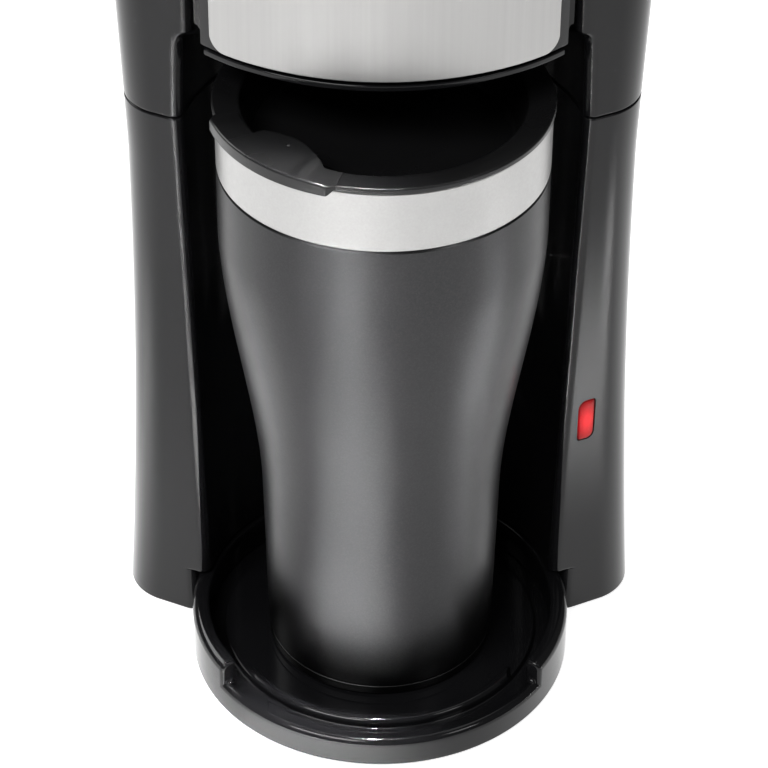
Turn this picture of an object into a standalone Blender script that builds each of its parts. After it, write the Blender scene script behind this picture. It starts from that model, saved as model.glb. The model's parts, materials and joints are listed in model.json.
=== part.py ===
"""Single-cup drip coffee maker with its travel mug, one object for each separate piece.

Every size below is in millimetres from the centre of the round base tray, at the foot of its skirt:
x to the right, y to the back and z up. The empty that carries all the pieces turns this into the
part's own frame, with the origin under the middle of the whole machine at table height.
"""

import math

import bmesh
import bpy
from mathutils import Matrix, Vector

MM = 0.001
GAP = 0.3

# Base tray and feet
TRAY_R = 55.15
TRAY_SKIRT = 2.55
TRAY_UNDER_Z = 3.2
TRAY_FLOOR_Z = 5.6
RIM_INNER_R = 50.1
FRONT_RIM_INNER_R = 53.2
PLATFORM_Z = 7.0
FRONT_RIM_Z = 9.0
SIDE_RIM_Z = 15.5
RIM_STEP_DEG = 55.5
RIB_OUTER_R = 46.0
RIB_INNER_R = 43.2
RIB_END_DEG = 58.0
RIB_TOP_Z = 8.4
COVER_Z = (0.4, 2.6)
SCREW_HEAD_Z = 0.6
SCREW_HEAD_R = 3.0
SCREW_R = 1.5
TRAY_SCREW_XY = (36.0, 8.0)
PLATE_SCREW_XY = (63.3, 80.0)
FOOT_Z = -1.0
FOOT_R = 6.5

# Housing plan and height
SEAM_Z = 175.0
HOUSING_TOP_Z = 262.0
NOTCH_TOP_Z = 16.0
WAIST_Z = 158.0
WAIST_HALF = 69.4
FOOT_FLARE = 5.9
TOP_FLARE = 4.2
BACK_Y = 127.0
WALL = 2.5
FRONT_SLOPE = 0.48
CREASE_R = 15.5
BACK_CORNER_R = 20.0

# Brew head
HEAD_FLOOR_Z = 202.0
HEAD_BASE_Z = (199.9, 201.7)
OUTLET_R = 5.0
HEAD_CENTRE_Y = 49.4
HEAD_R = 67.7
PANEL_R = 68.8
PANEL_CENTRE_Y = 49.4
PANEL_HALF = 47.0
PANEL_LOW_Z = 203.0
PANEL_HIGH_Z = 259.5
PANEL_THICK = 0.8
PANEL_CORNER_R = 4.0
GROOVE_X = (47.4, 49.4)
GROOVE_BACK_Y = 8.0
DECK_Z = 256.0
DECK_THICK = 2.0
BASKET_Y = 27.5
LID_LOW_Z = HOUSING_TOP_Z + GAP
LID_REAR_Y = 112.9
BRIDGE_FRONT_Y = 113.2
BRIDGE_TOP_Z = 275.6
HINGE_Y = 116.5
HINGE_Z = 279.2
KNUCKLE_R = 3.2
PIN_R = 1.3
HINGE_X = 36.0
LUG_HALF = 5.6
EAR_NEAR = 5.9
EAR_FAR = 10.0
SPRAY_Z = 269.0

# Travel mug
MUG_Y = -1.3
MUG_FOOT_Z = PLATFORM_Z + GAP
BAND_LOW_Z = 169.2
MUG_TOP_Z = 186.6
COLLAR_R = 44.3
LID_FLANGE_R = 45.0
DISH_FLOOR_Z = 176.0
DISH_R = 35.0
DRINK_HOLE_X = -17.5
DRINK_HOLE_R = 5.5
GASKET_Z = (181.2, 184.4)
SLIDER_DEG = (-77.0, -16.0)
SLIDER_R = 46.8
SLIDER_EDGE_R = 38.6
SLIDER_TONGUE = 6.2

# Rear inside
RESERVOIR_LOW_Z = 148.0
RESERVOIR_CENTRE = (0.0, 95.8)
RESERVOIR_HALF = (54.0, 25.6)
RISER_X = -61.3
RISER_Y = 92.0
HOSE_R = 4.2
VALVE_XY = (-44.0, 90.0)
VALVE_Z = (69.8, 92.2)
VALVE_BALL_Z = 76.6
VALVE_BALL_R = 3.4
HEATER_Z = (14.0, 27.0)
HEATER_Y = 90.0
HEATER_BEND_R = 22.0
HEATER_BEND_X = 8.0
HEATER_LEG_X = -38.0
HEATER_TUBE = 9.0
STRAP_X = (-12.0, -3.0)
STRAP_THICK = 1.2
GLAND_X = 44.0
GLAND_Z = 15.0
GLAND_HOLE_R = 3.2
GLAND_END_Y = BACK_Y + 1.6

# Power button, on the front face of the right pillar
BUTTON_X = 58.9
BUTTON_Z = 72.0
BUTTON_HALF_W = 2.45
BUTTON_HALF_H = 6.8
BUTTON_CORNER_R = 3.2
BUTTON_DEPTH = 5.0
SWITCH_DEPTH = 7.4

ORIGIN = Vector((0.0, -(GLAND_END_Y - TRAY_R) / 2.0, -FOOT_Z)) * MM


# ---------------------------------------------------------------- helpers

def clear_scene():
    for obj in list(bpy.data.objects):
        bpy.data.objects.remove(obj, do_unlink=True)


def material(name, colour, roughness, metallic=0.0):
    look = bpy.data.materials.new(name)
    look.use_nodes = True
    shader = look.node_tree.nodes["Principled BSDF"]
    shader.inputs["Base Color"].default_value = (*colour, 1.0)
    shader.inputs["Roughness"].default_value = roughness
    shader.inputs["Metallic"].default_value = metallic
    look.diffuse_color = (*colour, 1.0)
    return look


def add(name, bm, look):
    """One object made from a bmesh drawn in millimetres, its faces turned outwards."""
    bmesh.ops.recalc_face_normals(bm, faces=bm.faces)
    bmesh.ops.scale(bm, vec=(MM, MM, MM), verts=bm.verts)
    mesh = bpy.data.meshes.new(name)
    bm.to_mesh(mesh)
    bm.free()
    mesh.materials.append(look)
    mesh.shade_smooth()
    mesh.set_sharp_from_angle(angle=math.radians(35.0))
    obj = bpy.data.objects.new(name, mesh)
    bpy.context.scene.collection.objects.link(obj)
    obj.parent = machine
    return obj


def skin(bm, loops, closed=False, caps=True):
    """Faces between each loop of points and the next, with the first and last loops capped."""
    rings = [[bm.verts.new(point) for point in loop] for loop in loops]
    pairs = list(zip(rings, rings[1:]))
    if closed:
        pairs.append((rings[-1], rings[0]))
    for low, high in pairs:
        for i in range(len(low)):
            j = (i + 1) % len(low)
            bm.faces.new((low[i], low[j], high[j], high[i]))
    if caps and not closed:
        bm.faces.new(rings[0])
        bm.faces.new(rings[-1])
    return rings


def loft(name, loops, look, closed=False):
    bm = bmesh.new()
    skin(bm, loops, closed=closed)
    return add(name, bm, look)


def at_height(outline, z):
    return [(x, y, z) for x, y in outline]


def prism(name, outline, low, high, look):
    return loft(name, [at_height(outline, low), at_height(outline, high)], look)


def revolve(name, profile, look, centre=(0.0, 0.0), steps=28):
    """A closed outline of (radius, z) turned about a vertical axis; a radius of 0 is on the axis."""
    bm = bmesh.new()
    rows = []
    for radius, z in profile:
        if radius == 0.0:
            rows.append([bm.verts.new((centre[0], centre[1], z))] * steps)
            continue
        turn = [2.0 * math.pi * i / steps for i in range(steps)]
        rows.append([
            bm.verts.new((centre[0] + radius * math.cos(a), centre[1] + radius * math.sin(a), z))
            for a in turn
        ])
    for k, low in enumerate(rows):
        high = rows[(k + 1) % len(rows)]
        for i in range(steps):
            j = (i + 1) % steps
            corners = list(dict.fromkeys((low[i], low[j], high[j], high[i])))
            if len(corners) > 2:
                bm.faces.new(corners)
    return add(name, bm, look)


def rounded_rectangle(half_x, half_y, radius, centre=(0.0, 0.0), steps=4):
    points = []
    for quarter, (sx, sy) in enumerate(((1, 1), (-1, 1), (-1, -1), (1, -1))):
        middle = (centre[0] + sx * (half_x - radius), centre[1] + sy * (half_y - radius))
        for i in range(steps + 1):
            a = math.radians(90.0 * quarter + 90.0 * i / steps)
            points.append((middle[0] + radius * math.cos(a), middle[1] + radius * math.sin(a)))
    return points


def circle(radius, centre=(0.0, 0.0), steps=24):
    turn = [2.0 * math.pi * i / steps for i in range(steps)]
    return [(centre[0] + radius * math.cos(a), centre[1] + radius * math.sin(a)) for a in turn]


def block(name, low, high, look):
    outline = [(low[0], low[1]), (high[0], low[1]), (high[0], high[1]), (low[0], high[1])]
    return prism(name, outline, low[2], high[2], look)


def rod(name, start, end, radius, look, steps=16):
    """A plain cylinder from one point to another."""
    start, end = Vector(start), Vector(end)
    turned = (end - start).to_track_quat("Z", "Y").to_matrix().to_4x4()
    bm = bmesh.new()
    bmesh.ops.create_cone(
        bm, cap_ends=True, segments=steps, radius1=radius, radius2=radius,
        depth=(end - start).length, matrix=Matrix.Translation((start + end) / 2.0) @ turned,
    )
    return add(name, bm, look)


def smooth_route(points, count):
    """Evenly numbered points on a Catmull-Rom curve through the given ones."""
    knots = [Vector(p) for p in points]
    knots = [2 * knots[0] - knots[1]] + knots + [2 * knots[-1] - knots[-2]]
    spans = len(knots) - 3
    route = []
    for k in range(count):
        place = spans * k / (count - 1)
        i = min(int(place), spans - 1)
        t = place - i
        a, b, c, d = knots[i:i + 4]
        route.append(0.5 * (
            2 * b + (c - a) * t + (2 * a - 5 * b + 4 * c - d) * t ** 2
            + (3 * b - a - 3 * c + d) * t ** 3
        ))
    return route


def tube(name, points, radius, look, count=16, sides=2):
    """A bent round bar: a curve with a round bevel and filled ends."""
    curve = bpy.data.curves.new(name, "CURVE")
    curve.dimensions = "3D"
    curve.bevel_depth = radius * MM
    curve.bevel_resolution = sides
    curve.use_fill_caps = True
    spline = curve.splines.new("POLY")
    route = smooth_route(points, count)
    spline.points.add(len(route) - 1)
    for place, point in zip(spline.points, route):
        place.co = (*(point * MM), 1.0)
    curve.materials.append(look)
    obj = bpy.data.objects.new(name, curve)
    bpy.context.scene.collection.objects.link(obj)
    obj.parent = machine
    return obj


def combine(target, other, operation):
    """A Boolean that stays on the target, with the other shape kept as a hidden guide."""
    other.hide_render = True
    other.display_type = "WIRE"
    modifier = target.modifiers.new(other.name, "BOOLEAN")
    modifier.operation = operation
    modifier.solver = "EXACT"
    modifier.object = other


def cut(target, other):
    combine(target, other, "DIFFERENCE")


def join(target, other):
    combine(target, other, "UNION")


def move_origin(obj, point):
    """Puts the object's origin on its joint's axis and leaves its mesh where it was."""
    place = Vector(point) * MM
    obj.data.transform(Matrix.Translation(-place))
    obj.location = place


# ---------------------------------------------------------------- housing outlines

def side_half(z):
    """Half the machine's width: flared at the foot, waisted, and flared again at the top."""
    if z < WAIST_Z:
        return WAIST_HALF + FOOT_FLARE * ((WAIST_Z - z) / WAIST_Z) ** 2
    return WAIST_HALF + TOP_FLARE * ((z - WAIST_Z) / (HOUSING_TOP_Z - WAIST_Z)) ** 1.15


def back_edge(z):
    return BACK_Y - 0.45 * (side_half(0.0) - side_half(z))


def front_line(x, z):
    """Where a pillar's slanted front face is, at this distance from the middle."""
    return 10.5 - 0.0154 * min(z, SEAM_Z) + FRONT_SLOPE * (x - 54.5)


def tip_x(z):
    """The inner front edge of a pillar."""
    if z < SEAM_Z:
        return 50.4 + 3.3 * (max(z, 0.0) - NOTCH_TOP_Z) / (SEAM_Z - NOTCH_TOP_Z)
    return 53.7 - 0.03 * (z - SEAM_Z)


def bay_radius(z):
    return math.hypot(tip_x(z), front_line(tip_x(z), z))


def arc(centre, radius, start, end, steps):
    """Points from one angle to another, in degrees anticlockwise from +x."""
    turn = [math.radians(start + (end - start) * i / steps) for i in range(steps + 1)]
    return [(centre[0] + radius * math.cos(a), centre[1] + radius * math.sin(a)) for a in turn]


def right_side(z, inset, steps=4):
    """The right pillar's crease, the side and the rear corner, moved inwards by the inset."""
    lean = math.degrees(math.atan(FRONT_SLOPE))
    side = side_half(z) - inset
    back = back_edge(z) - inset
    corner_y = front_line(side, z) + inset * math.hypot(1.0, FRONT_SLOPE)
    crease = CREASE_R - inset
    crease_y = corner_y + crease * math.tan(math.radians((90.0 - lean) / 2.0))
    corner = BACK_CORNER_R - inset
    points = arc((side - crease, crease_y), crease, lean - 90.0, 0.0, steps)
    points += arc((side - corner, back - corner), corner, 0.0, 90.0, steps)
    return points


def mirrored(points):
    return [(-x, y) for x, y in reversed(points)]


def tip(z, inset):
    """The inner front corner of the pillar's plan, moved inwards by the inset."""
    radius = bay_radius(z) + inset
    rise = front_line(0.0, z) + inset * math.hypot(1.0, FRONT_SLOPE)
    a = 1.0 + FRONT_SLOPE ** 2
    b = FRONT_SLOPE * rise
    x = (-b + math.sqrt(b * b - a * (rise * rise - radius * radius))) / a
    return (x, rise + FRONT_SLOPE * x)


def c_outline(z, inset=0.0):
    """The C-shaped plan round the mug bay."""
    corner = tip(z, inset)
    half = [corner] + right_side(z, inset)
    radius = math.hypot(*corner)
    start = 180.0 - math.degrees(math.atan2(corner[1], corner[0]))
    bay = arc((0.0, 0.0), radius, start, 180.0 - start, 14)[1:-1]
    return half + mirrored(half) + bay


def d_outline(z, inset=0.0, groove=True):
    """The closed plan of the brew head: a round front between the pillars' faces."""
    radius = HEAD_R - inset
    reach = 43.5 if inset else PANEL_HALF + 0.4
    end = math.degrees(math.asin(reach / radius))
    front = arc((0.0, HEAD_CENTRE_Y), radius, -90.0, -90.0 + end, 6)
    if inset:
        front += [(44.5, 11.0), (51.5, 11.5)]
    elif groove:
        near, far = GROOVE_X
        front += [(near, GROOVE_BACK_Y), (far, GROOVE_BACK_Y), (far, front_line(far, z))]
    else:
        front += [(49.6, front_line(49.6, z))]
    half = front + right_side(z, inset)
    return half + mirrored(half)[:-1]


def rear_outline(z, inset, front_y):
    """The part of the plan behind a line across the machine."""
    half = [point for point in right_side(z, inset, 8) if point[1] > front_y + 1.0]
    half = [(half[0][0] + 0.6, front_y)] + half
    return half + mirrored(half)


# ---------------------------------------------------------------- base

def tray_profile(rim_z, rib_z):
    raised = rim_z > FRONT_RIM_Z
    inner = RIM_INNER_R if raised else FRONT_RIM_INNER_R
    slope = 0.3 if raised else 2.0
    return [
        (TRAY_R - TRAY_SKIRT, 0.0), (TRAY_R, 0.0), (TRAY_R, rim_z - 0.8), (TRAY_R - 0.9, rim_z),
        (inner + 0.8, rim_z), (inner, rim_z - 0.9), (inner - slope, TRAY_FLOOR_Z),
        (RIB_OUTER_R, TRAY_FLOOR_Z), (RIB_OUTER_R - 0.6, rib_z), (RIB_INNER_R + 0.7, rib_z),
        (RIB_INNER_R, PLATFORM_Z),
    ]


def base_tray(look):
    """The round tray: its rim steps up beside the pillars and the arc rib ends short of them."""
    step = 0.8
    marks = [RIM_STEP_DEG, RIM_STEP_DEG + step, RIB_END_DEG, RIB_END_DEG + step]
    plain = [-180.0 + 10.0 * i for i in range(36)]
    angles = [a for a in plain if all(abs(abs(a) - m) > 2.5 for m in marks)]
    angles = sorted(angles + marks + [-m for m in marks])
    loops = []
    for angle in angles:
        rim = SIDE_RIM_Z if abs(angle) > RIM_STEP_DEG + step / 2.0 else FRONT_RIM_Z
        rib = PLATFORM_Z if abs(angle) > RIB_END_DEG + step / 2.0 else RIB_TOP_Z
        a = math.radians(angle)
        loops.append([(r * math.sin(a), -r * math.cos(a), z) for r, z in tray_profile(rim, rib)])
    bm = bmesh.new()
    rings = [[bm.verts.new(point) for point in loop] for loop in loops]
    under = [bm.verts.new((loop[0][0], loop[0][1], TRAY_UNDER_Z)) for loop in loops]
    for i, ring in enumerate(rings):
        other = rings[(i + 1) % len(rings)]
        for k in range(len(ring) - 1):
            bm.faces.new((ring[k], other[k], other[k + 1], ring[k + 1]))
        bm.faces.new((ring[0], under[i], under[(i + 1) % len(rings)], other[0]))
    bm.faces.new([ring[-1] for ring in rings])
    bm.faces.new(under)
    return add("base_tray", bm, look)


def bottom_covers(look):
    prism("tray_bottom_cover", circle(TRAY_R - TRAY_SKIRT - 0.4, steps=36), *COVER_Z, look)
    half = right_side(1.0, WALL + GAP)
    outline = [(half[0][0] - 8.0, half[0][1] - 8.0 * FRONT_SLOPE)] + half
    plate = prism("rear_bottom_plate", outline + mirrored(outline), *COVER_Z, look)
    cut(plate, prism("plate_notch", circle(TRAY_R + 0.6, steps=48), -2.0, 5.0, look))


def feet(look):
    places = {
        "foot_front_left": (-30.0, -30.0), "foot_front_right": (30.0, -30.0),
        "foot_rear_left": (-52.0, 106.0), "foot_rear_right": (52.0, 106.0),
    }
    for name, centre in places.items():
        profile = [
            (0.0, FOOT_Z), (FOOT_R - 0.4, FOOT_Z), (FOOT_R, FOOT_Z + 0.4), (FOOT_R, 0.1), (0.0, 0.1),
        ]
        revolve(name, profile, look, centre, steps=20)


def screw(name, place, look, length=9.0):
    """A pan-head screw standing up from below; the place is the underside of its head."""
    x, y, z = place
    profile = [
        (0.0, z), (SCREW_HEAD_R - 0.7, z), (SCREW_HEAD_R, z + 0.6), (SCREW_HEAD_R, z + 1.8),
        (SCREW_R, z + 1.8), (SCREW_R, z + length - 1.0), (0.0, z + length),
    ]
    return revolve(name, profile, look, (x, y), steps=10)


def cover_screws(look):
    """Screws through the covers, each in a sunk hole and its own post."""
    tray = bpy.data.objects["base_tray"]
    cover = bpy.data.objects["tray_bottom_cover"]
    housing = bpy.data.objects["lower_housing"]
    plate = bpy.data.objects["rear_bottom_plate"]
    hole_r, bore_r = SCREW_HEAD_R + 0.4, SCREW_R + 0.4
    for side, sign in (("left", -1.0), ("right", 1.0)):
        x, y = sign * TRAY_SCREW_XY[0], TRAY_SCREW_XY[1]
        cut(cover, rod(f"tray_screw_hole_{side}", (x, y, -3.0), (x, y, 4.0), hole_r, look, 12))
        cut(tray, rod(f"tray_screw_bore_{side}", (x, y, 1.0), (x, y, 6.2), bore_r, look, 10))
        screw(f"tray_screw_{side}", (x, y, SCREW_HEAD_Z), look, 5.2)
        x, y = sign * PLATE_SCREW_XY[0], PLATE_SCREW_XY[1]
        cut(plate, rod(f"plate_screw_hole_{side}", (x, y, -3.0), (x, y, 4.0), hole_r, look, 12))
        post = rod(f"screw_post_{side}", (x, y, 3.0), (x, y, 14.0), 4.4, look, 12)
        join(housing, block(
            f"screw_post_web_{side}", (min(x, sign * 72.2), y - 2.0, 3.0),
            (max(x, sign * 72.2), y + 2.0, 13.0), look,
        ))
        join(housing, post)
        cut(housing, rod(f"screw_bore_{side}", (x, y, 2.0), (x, y, 12.5), bore_r, look, 10))
        screw(f"rear_plate_screw_{side}", (x, y, SCREW_HEAD_Z), look)


# ---------------------------------------------------------------- housing

def lower_housing(look):
    """The C-shaped shell from the table to the parting line, open above and below."""
    outer = [0.0, NOTCH_TOP_Z, 45.0, 90.0, 135.0, SEAM_Z - 0.15]
    inner = [SEAM_Z - 0.15, 120.0, 60.0, 0.0]
    loops = [at_height(c_outline(z), z) for z in outer]
    loops += [at_height(c_outline(z, WALL), z) for z in inner]
    shell = loft("lower_housing", loops, look, closed=True)
    cut(shell, prism("tray_notch", circle(TRAY_R + GAP, steps=60), -5.0, NOTCH_TOP_Z, look))
    return shell


def upper_housing(look):
    """The shell above the parting line: it closes over the bay into the brew head."""
    levels = [SEAM_Z + 0.15, HEAD_FLOOR_Z, 232.0, HOUSING_TOP_Z]
    shell = loft("upper_housing", [at_height(d_outline(z), z) for z in levels], look)
    bridge_levels = [(HOUSING_TOP_Z - 2.0, 0.0), (BRIDGE_TOP_Z - 4.1, 0.0)]
    bridge_levels += [(BRIDGE_TOP_Z - 1.2, 1.2), (BRIDGE_TOP_Z, 3.6)]
    join(shell, loft("hinge_bridge", [
        at_height(rear_outline(min(z, HOUSING_TOP_Z), inset, BRIDGE_FRONT_Y), z)
        for z, inset in bridge_levels
    ], look))
    roof = DECK_Z + 3.0
    hollow = [at_height(d_outline(z, WALL), z) for z in (HEAD_FLOOR_Z + WALL, 232.0, roof)]
    mouth = [(x, min(y, BRIDGE_FRONT_Y)) for x, y in d_outline(HOUSING_TOP_Z, WALL)]
    hollow += [at_height(mouth, roof + 0.4), at_height(mouth, HOUSING_TOP_Z + 20.0)]
    cut(shell, loft("head_hollow", hollow, look))
    cut(shell, loft("rear_hollow", [
        at_height(c_outline(z, WALL), z) for z in (SEAM_Z - 3.0, HEAD_FLOOR_Z + WALL + 1.0)
    ], look))
    cut(shell, bay_cutter(look))
    outlet = (0.0, BASKET_Y)
    cut(shell, prism("head_outlet", circle(OUTLET_R + 2.0, outlet, 20), HEAD_FLOOR_Z - 2.0, 210.0, look))
    hinge_ears(shell, look)
    return shell


def bay_cutter(look):
    """The upper end of the mug bay, with its top edges turned in."""
    def outline(z, inset):
        corner = tip(z, 0.0)
        radius = math.hypot(*corner) - inset
        x = corner[0] - inset
        start = math.degrees(math.acos(x / radius))
        bay = arc((0.0, 0.0), radius, start, 180.0 - start, 24)
        return bay + [(-x, -40.0), (x, -40.0)]
    levels = [(SEAM_Z - 5.0, 0.0), (HEAD_FLOOR_Z - 3.0, 0.0), (HEAD_FLOOR_Z - 0.9, 0.9)]
    levels += [(HEAD_FLOOR_Z, 3.0)]
    return loft("bay_top", [at_height(outline(z, inset), z) for z, inset in levels], look)


def hinge_ears(shell, look):
    """Pairs of round ears on the bridge, with the hinge pins' bores."""
    for sign in (-1.0, 1.0):
        for low, high in ((EAR_NEAR, EAR_FAR), (-EAR_FAR, -EAR_NEAR)):
            start = sign * HINGE_X + low
            name = f"hinge_ear_{start:.0f}"
            root_z = BRIDGE_TOP_Z - 3.6
            profile = [(HINGE_Y - 2.8, root_z), (HINGE_Y + 2.8, root_z)]
            profile += arc((HINGE_Y, HINGE_Z), KNUCKLE_R, -30.0, 210.0, 8)
            loops = [[(x, y, z) for y, z in profile] for x in (start, start + high - low)]
            join(shell, loft(name, loops, look))
        bore = (sign * HINGE_X - 14.0, HINGE_Y, HINGE_Z), (sign * HINGE_X + 14.0, HINGE_Y, HINGE_Z)
        cut(shell, rod(f"hinge_bore_{sign:.0f}", *bore, PIN_R + 0.3, look, 14))


def front_panel(look):
    """The curved metal sheet on the brew head, with small rounded lower corners."""
    corner = PANEL_CORNER_R
    edge = [corner * (1.0 - math.cos(math.radians(15.0 * i))) for i in range(6)]
    span = math.asin(PANEL_HALF / PANEL_R) * PANEL_R
    inner = [-span + 5.0 + (2.0 * span - 10.0) * i / 18 for i in range(19)]
    runs = [-span + e for e in edge] + inner + [span - e for e in reversed(edge)]
    loops = []
    for run in runs:
        out = max(0.0, corner - (span - abs(run)))
        low = PANEL_LOW_Z + corner - math.sqrt(max(corner ** 2 - out ** 2, 0.0))
        a = run / PANEL_R
        loop = []
        for radius, z in (
            (PANEL_R, low), (PANEL_R, PANEL_HIGH_Z), (PANEL_R - PANEL_THICK, PANEL_HIGH_Z),
            (PANEL_R - PANEL_THICK, low),
        ):
            loop.append((radius * math.sin(a), PANEL_CENTRE_Y - radius * math.cos(a), z))
        loops.append(loop)
    return loft("front_panel", loops, look)


def head_base(look):
    """The black plate under the brew head, with the drip outlet."""
    radius = PANEL_R - 0.2
    end = math.degrees(math.asin(46.5 / radius))
    front = arc((0.0, PANEL_CENTRE_Y), radius, -90.0 - end, -90.0 + end, 16)
    back = arc((0.0, 0.0), 49.5, 20.0, 160.0, 12)
    plate = prism("head_base", front + back, *HEAD_BASE_Z, look)
    cut(plate, prism("drip_outlet", circle(OUTLET_R, (0.0, BASKET_Y), 20), 195.0, 205.0, look))
    return plate


# ---------------------------------------------------------------- top

def lid_outline(z, inset):
    """The lid's plan: the head's outline cut off straight in front of the hinge."""
    points = []
    middle_y = 46.0
    for x, y in d_outline(HOUSING_TOP_Z, 0.0, groove=False):
        reach = math.hypot(x, y - middle_y)
        scale = (reach - inset) / reach
        points.append((x * scale, min(middle_y + (y - middle_y) * scale, LID_REAR_Y - inset)))
    return at_height(points, z)


def top_lid(look):
    levels = [(LID_LOW_Z, 0.0), (270.0, 0.2), (274.0, 1.6), (276.8, 5.0), (279.2, 13.0), (281.0, 30.0)]
    hollow = [(LID_LOW_Z - 3.0, 2.4), (270.0, 2.6), (273.4, 5.0), (276.6, 14.0), (278.4, 30.0)]
    lid = loft("top_lid", [lid_outline(z, inset) for z, inset in levels], look)
    for sign in (-1.0, 1.0):
        x = sign * HINGE_X
        profile = arc((HINGE_Y, HINGE_Z), KNUCKLE_R, -90.0, 90.0, 8)
        profile += [
            (HINGE_Y - 12.0, HINGE_Z - 1.0), (HINGE_Y - 12.0, 272.5), (HINGE_Y - 5.6, 272.5),
            (HINGE_Y - 4.2, HINGE_Z - KNUCKLE_R),
        ]
        loops = [[(place, y, z) for y, z in profile] for place in (x - LUG_HALF, x + LUG_HALF)]
        join(lid, loft(f"lid_knuckle_{sign:.0f}", loops, look))
    tab = rounded_rectangle(13.0, 6.0, 3.0, (0.0, -20.5), 3)
    join(lid, prism("lid_tab", tab, 264.0, 266.6, look))
    cut(lid, loft("lid_hollow", [lid_outline(z, inset) for z, inset in hollow], look))
    for sign in (-1.0, 1.0):
        x = sign * HINGE_X
        pin = rod(f"lid_pin_bore_{sign:.0f}", (x - 7.0, HINGE_Y, HINGE_Z),
                  (x + 7.0, HINGE_Y, HINGE_Z), PIN_R + 0.3, look, 14)
        cut(lid, pin)
    move_origin(lid, (0.0, HINGE_Y, HINGE_Z))
    return lid


def hinge_pins(look):
    for side, sign in (("left", -1.0), ("right", 1.0)):
        x = sign * HINGE_X
        near, far = (x - EAR_FAR, HINGE_Y, HINGE_Z), (x + EAR_FAR, HINGE_Y, HINGE_Z)
        rod(f"hinge_pin_{side}", near, far, PIN_R, look, 12)


def top_deck(look):
    """The plate under the lid, open over the brew basket and over the reservoir."""
    outline = d_outline(DECK_Z, WALL + GAP)
    outline = [(x, min(y, BRIDGE_FRONT_Y + 8.0)) for x, y in outline]
    deck = prism("top_deck", outline, DECK_Z, DECK_Z + DECK_THICK, look)
    cut(deck, prism("basket_hole", circle(39.4, (0.0, BASKET_Y), 36), 250.0, 262.0, look))
    fill = rounded_rectangle(50.0, 20.5, 8.0, (0.0, 94.5))
    cut(deck, prism("fill_hole", fill, 250.0, 262.0, look))
    cut(deck, prism("riser_hole", circle(HOSE_R + 0.7, (RISER_X, RISER_Y), 16), 250.0, 262.0, look))
    return deck


def reservoir(look):
    """The water tank: a deep box open at the top, with an outlet nipple in its floor."""
    loops = []
    for z, inset in (
        (RESERVOIR_LOW_Z, 2.0), (RESERVOIR_LOW_Z + 2.0, 0.0), (DECK_Z - GAP, 0.0),
        (DECK_Z - GAP, 2.2), (RESERVOIR_LOW_Z + 2.4, 2.2),
    ):
        half = (RESERVOIR_HALF[0] - inset, RESERVOIR_HALF[1] - inset)
        loops.append(at_height(rounded_rectangle(*half, 14.0 - inset, RESERVOIR_CENTRE), z))
    tank = loft("reservoir", loops, look)
    x, y = VALVE_XY
    join(tank, rod("tank_nipple", (x, y, 139.0), (x, y, RESERVOIR_LOW_Z + 1.0), 3.2, look, 14))
    cut(tank, rod("tank_outlet", (x, y, 136.0), (x, y, RESERVOIR_LOW_Z + 6.0), 2.0, look, 12))
    return tank


def brew_basket(look):
    profile = [
        (2.6, 205.8), (4.4, 205.8), (4.4, 211.0), (29.5, 213.0), (31.0, 214.5), (38.4, 256.5),
        (38.4, 258.3), (42.0, 258.3), (42.0, 260.0), (36.6, 260.0), (36.4, 256.5), (29.2, 216.2),
        (28.4, 215.0), (2.6, 213.2),
    ]
    return revolve("brew_basket", profile, look, (0.0, BASKET_Y))


def permanent_filter(frame_look, mesh_look):
    centre = (0.0, BASKET_Y)
    rim = revolve("filter_rim", [
        (33.6, 254.2), (35.6, 254.2), (36.1, 257.2), (36.1, 258.6), (33.6, 258.6),
    ], frame_look, centre)
    for sign in (-1.0, 1.0):
        join(rim, block(
            f"filter_lug_{sign:.0f}", (min(sign * 22.0, sign * 34.6), BASKET_Y - 3.0, 256.6),
            (max(sign * 22.0, sign * 34.6), BASKET_Y + 3.0, 258.6), frame_look,
        ))
    revolve("filter_mesh", [
        (0.0, 217.0), (26.0, 217.0), (27.2, 218.2), (34.4, 253.2), (34.4, 253.9), (33.3, 253.9),
        (26.2, 219.0), (25.6, 218.0), (0.0, 218.0),
    ], mesh_look, centre)


def spray_head(look):
    """The rigid pipe from the riser hose to the shower head over the basket."""
    tube("spray_arm", [
        (RISER_X, RISER_Y, 247.0), (RISER_X, RISER_Y, 259.0), (-58.5, 88.0, SPRAY_Z - 2.5),
        (-46.0, 74.0, SPRAY_Z), (-26.0, 52.0, SPRAY_Z), (-8.0, 34.5, SPRAY_Z),
        (0.0, BASKET_Y, SPRAY_Z - 0.4),
    ], 3.2, look, count=22, sides=2)
    revolve("shower_head", [
        (0.0, 261.2), (8.5, 261.2), (10.0, 262.2), (10.0, 263.6), (6.0, 265.1), (0.0, 265.1),
    ], look, (0.0, BASKET_Y), steps=20)


# ---------------------------------------------------------------- water path

def heater_path(steps=10):
    """The heater's centre line in plan, out along one leg, round the bend and back."""
    bend = arc((HEATER_BEND_X, HEATER_Y), HEATER_BEND_R, -90.0, 90.0, steps)
    return [(HEATER_LEG_X, HEATER_Y - HEATER_BEND_R)] + bend + [
        (HEATER_LEG_X, HEATER_Y + HEATER_BEND_R)
    ]


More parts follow.
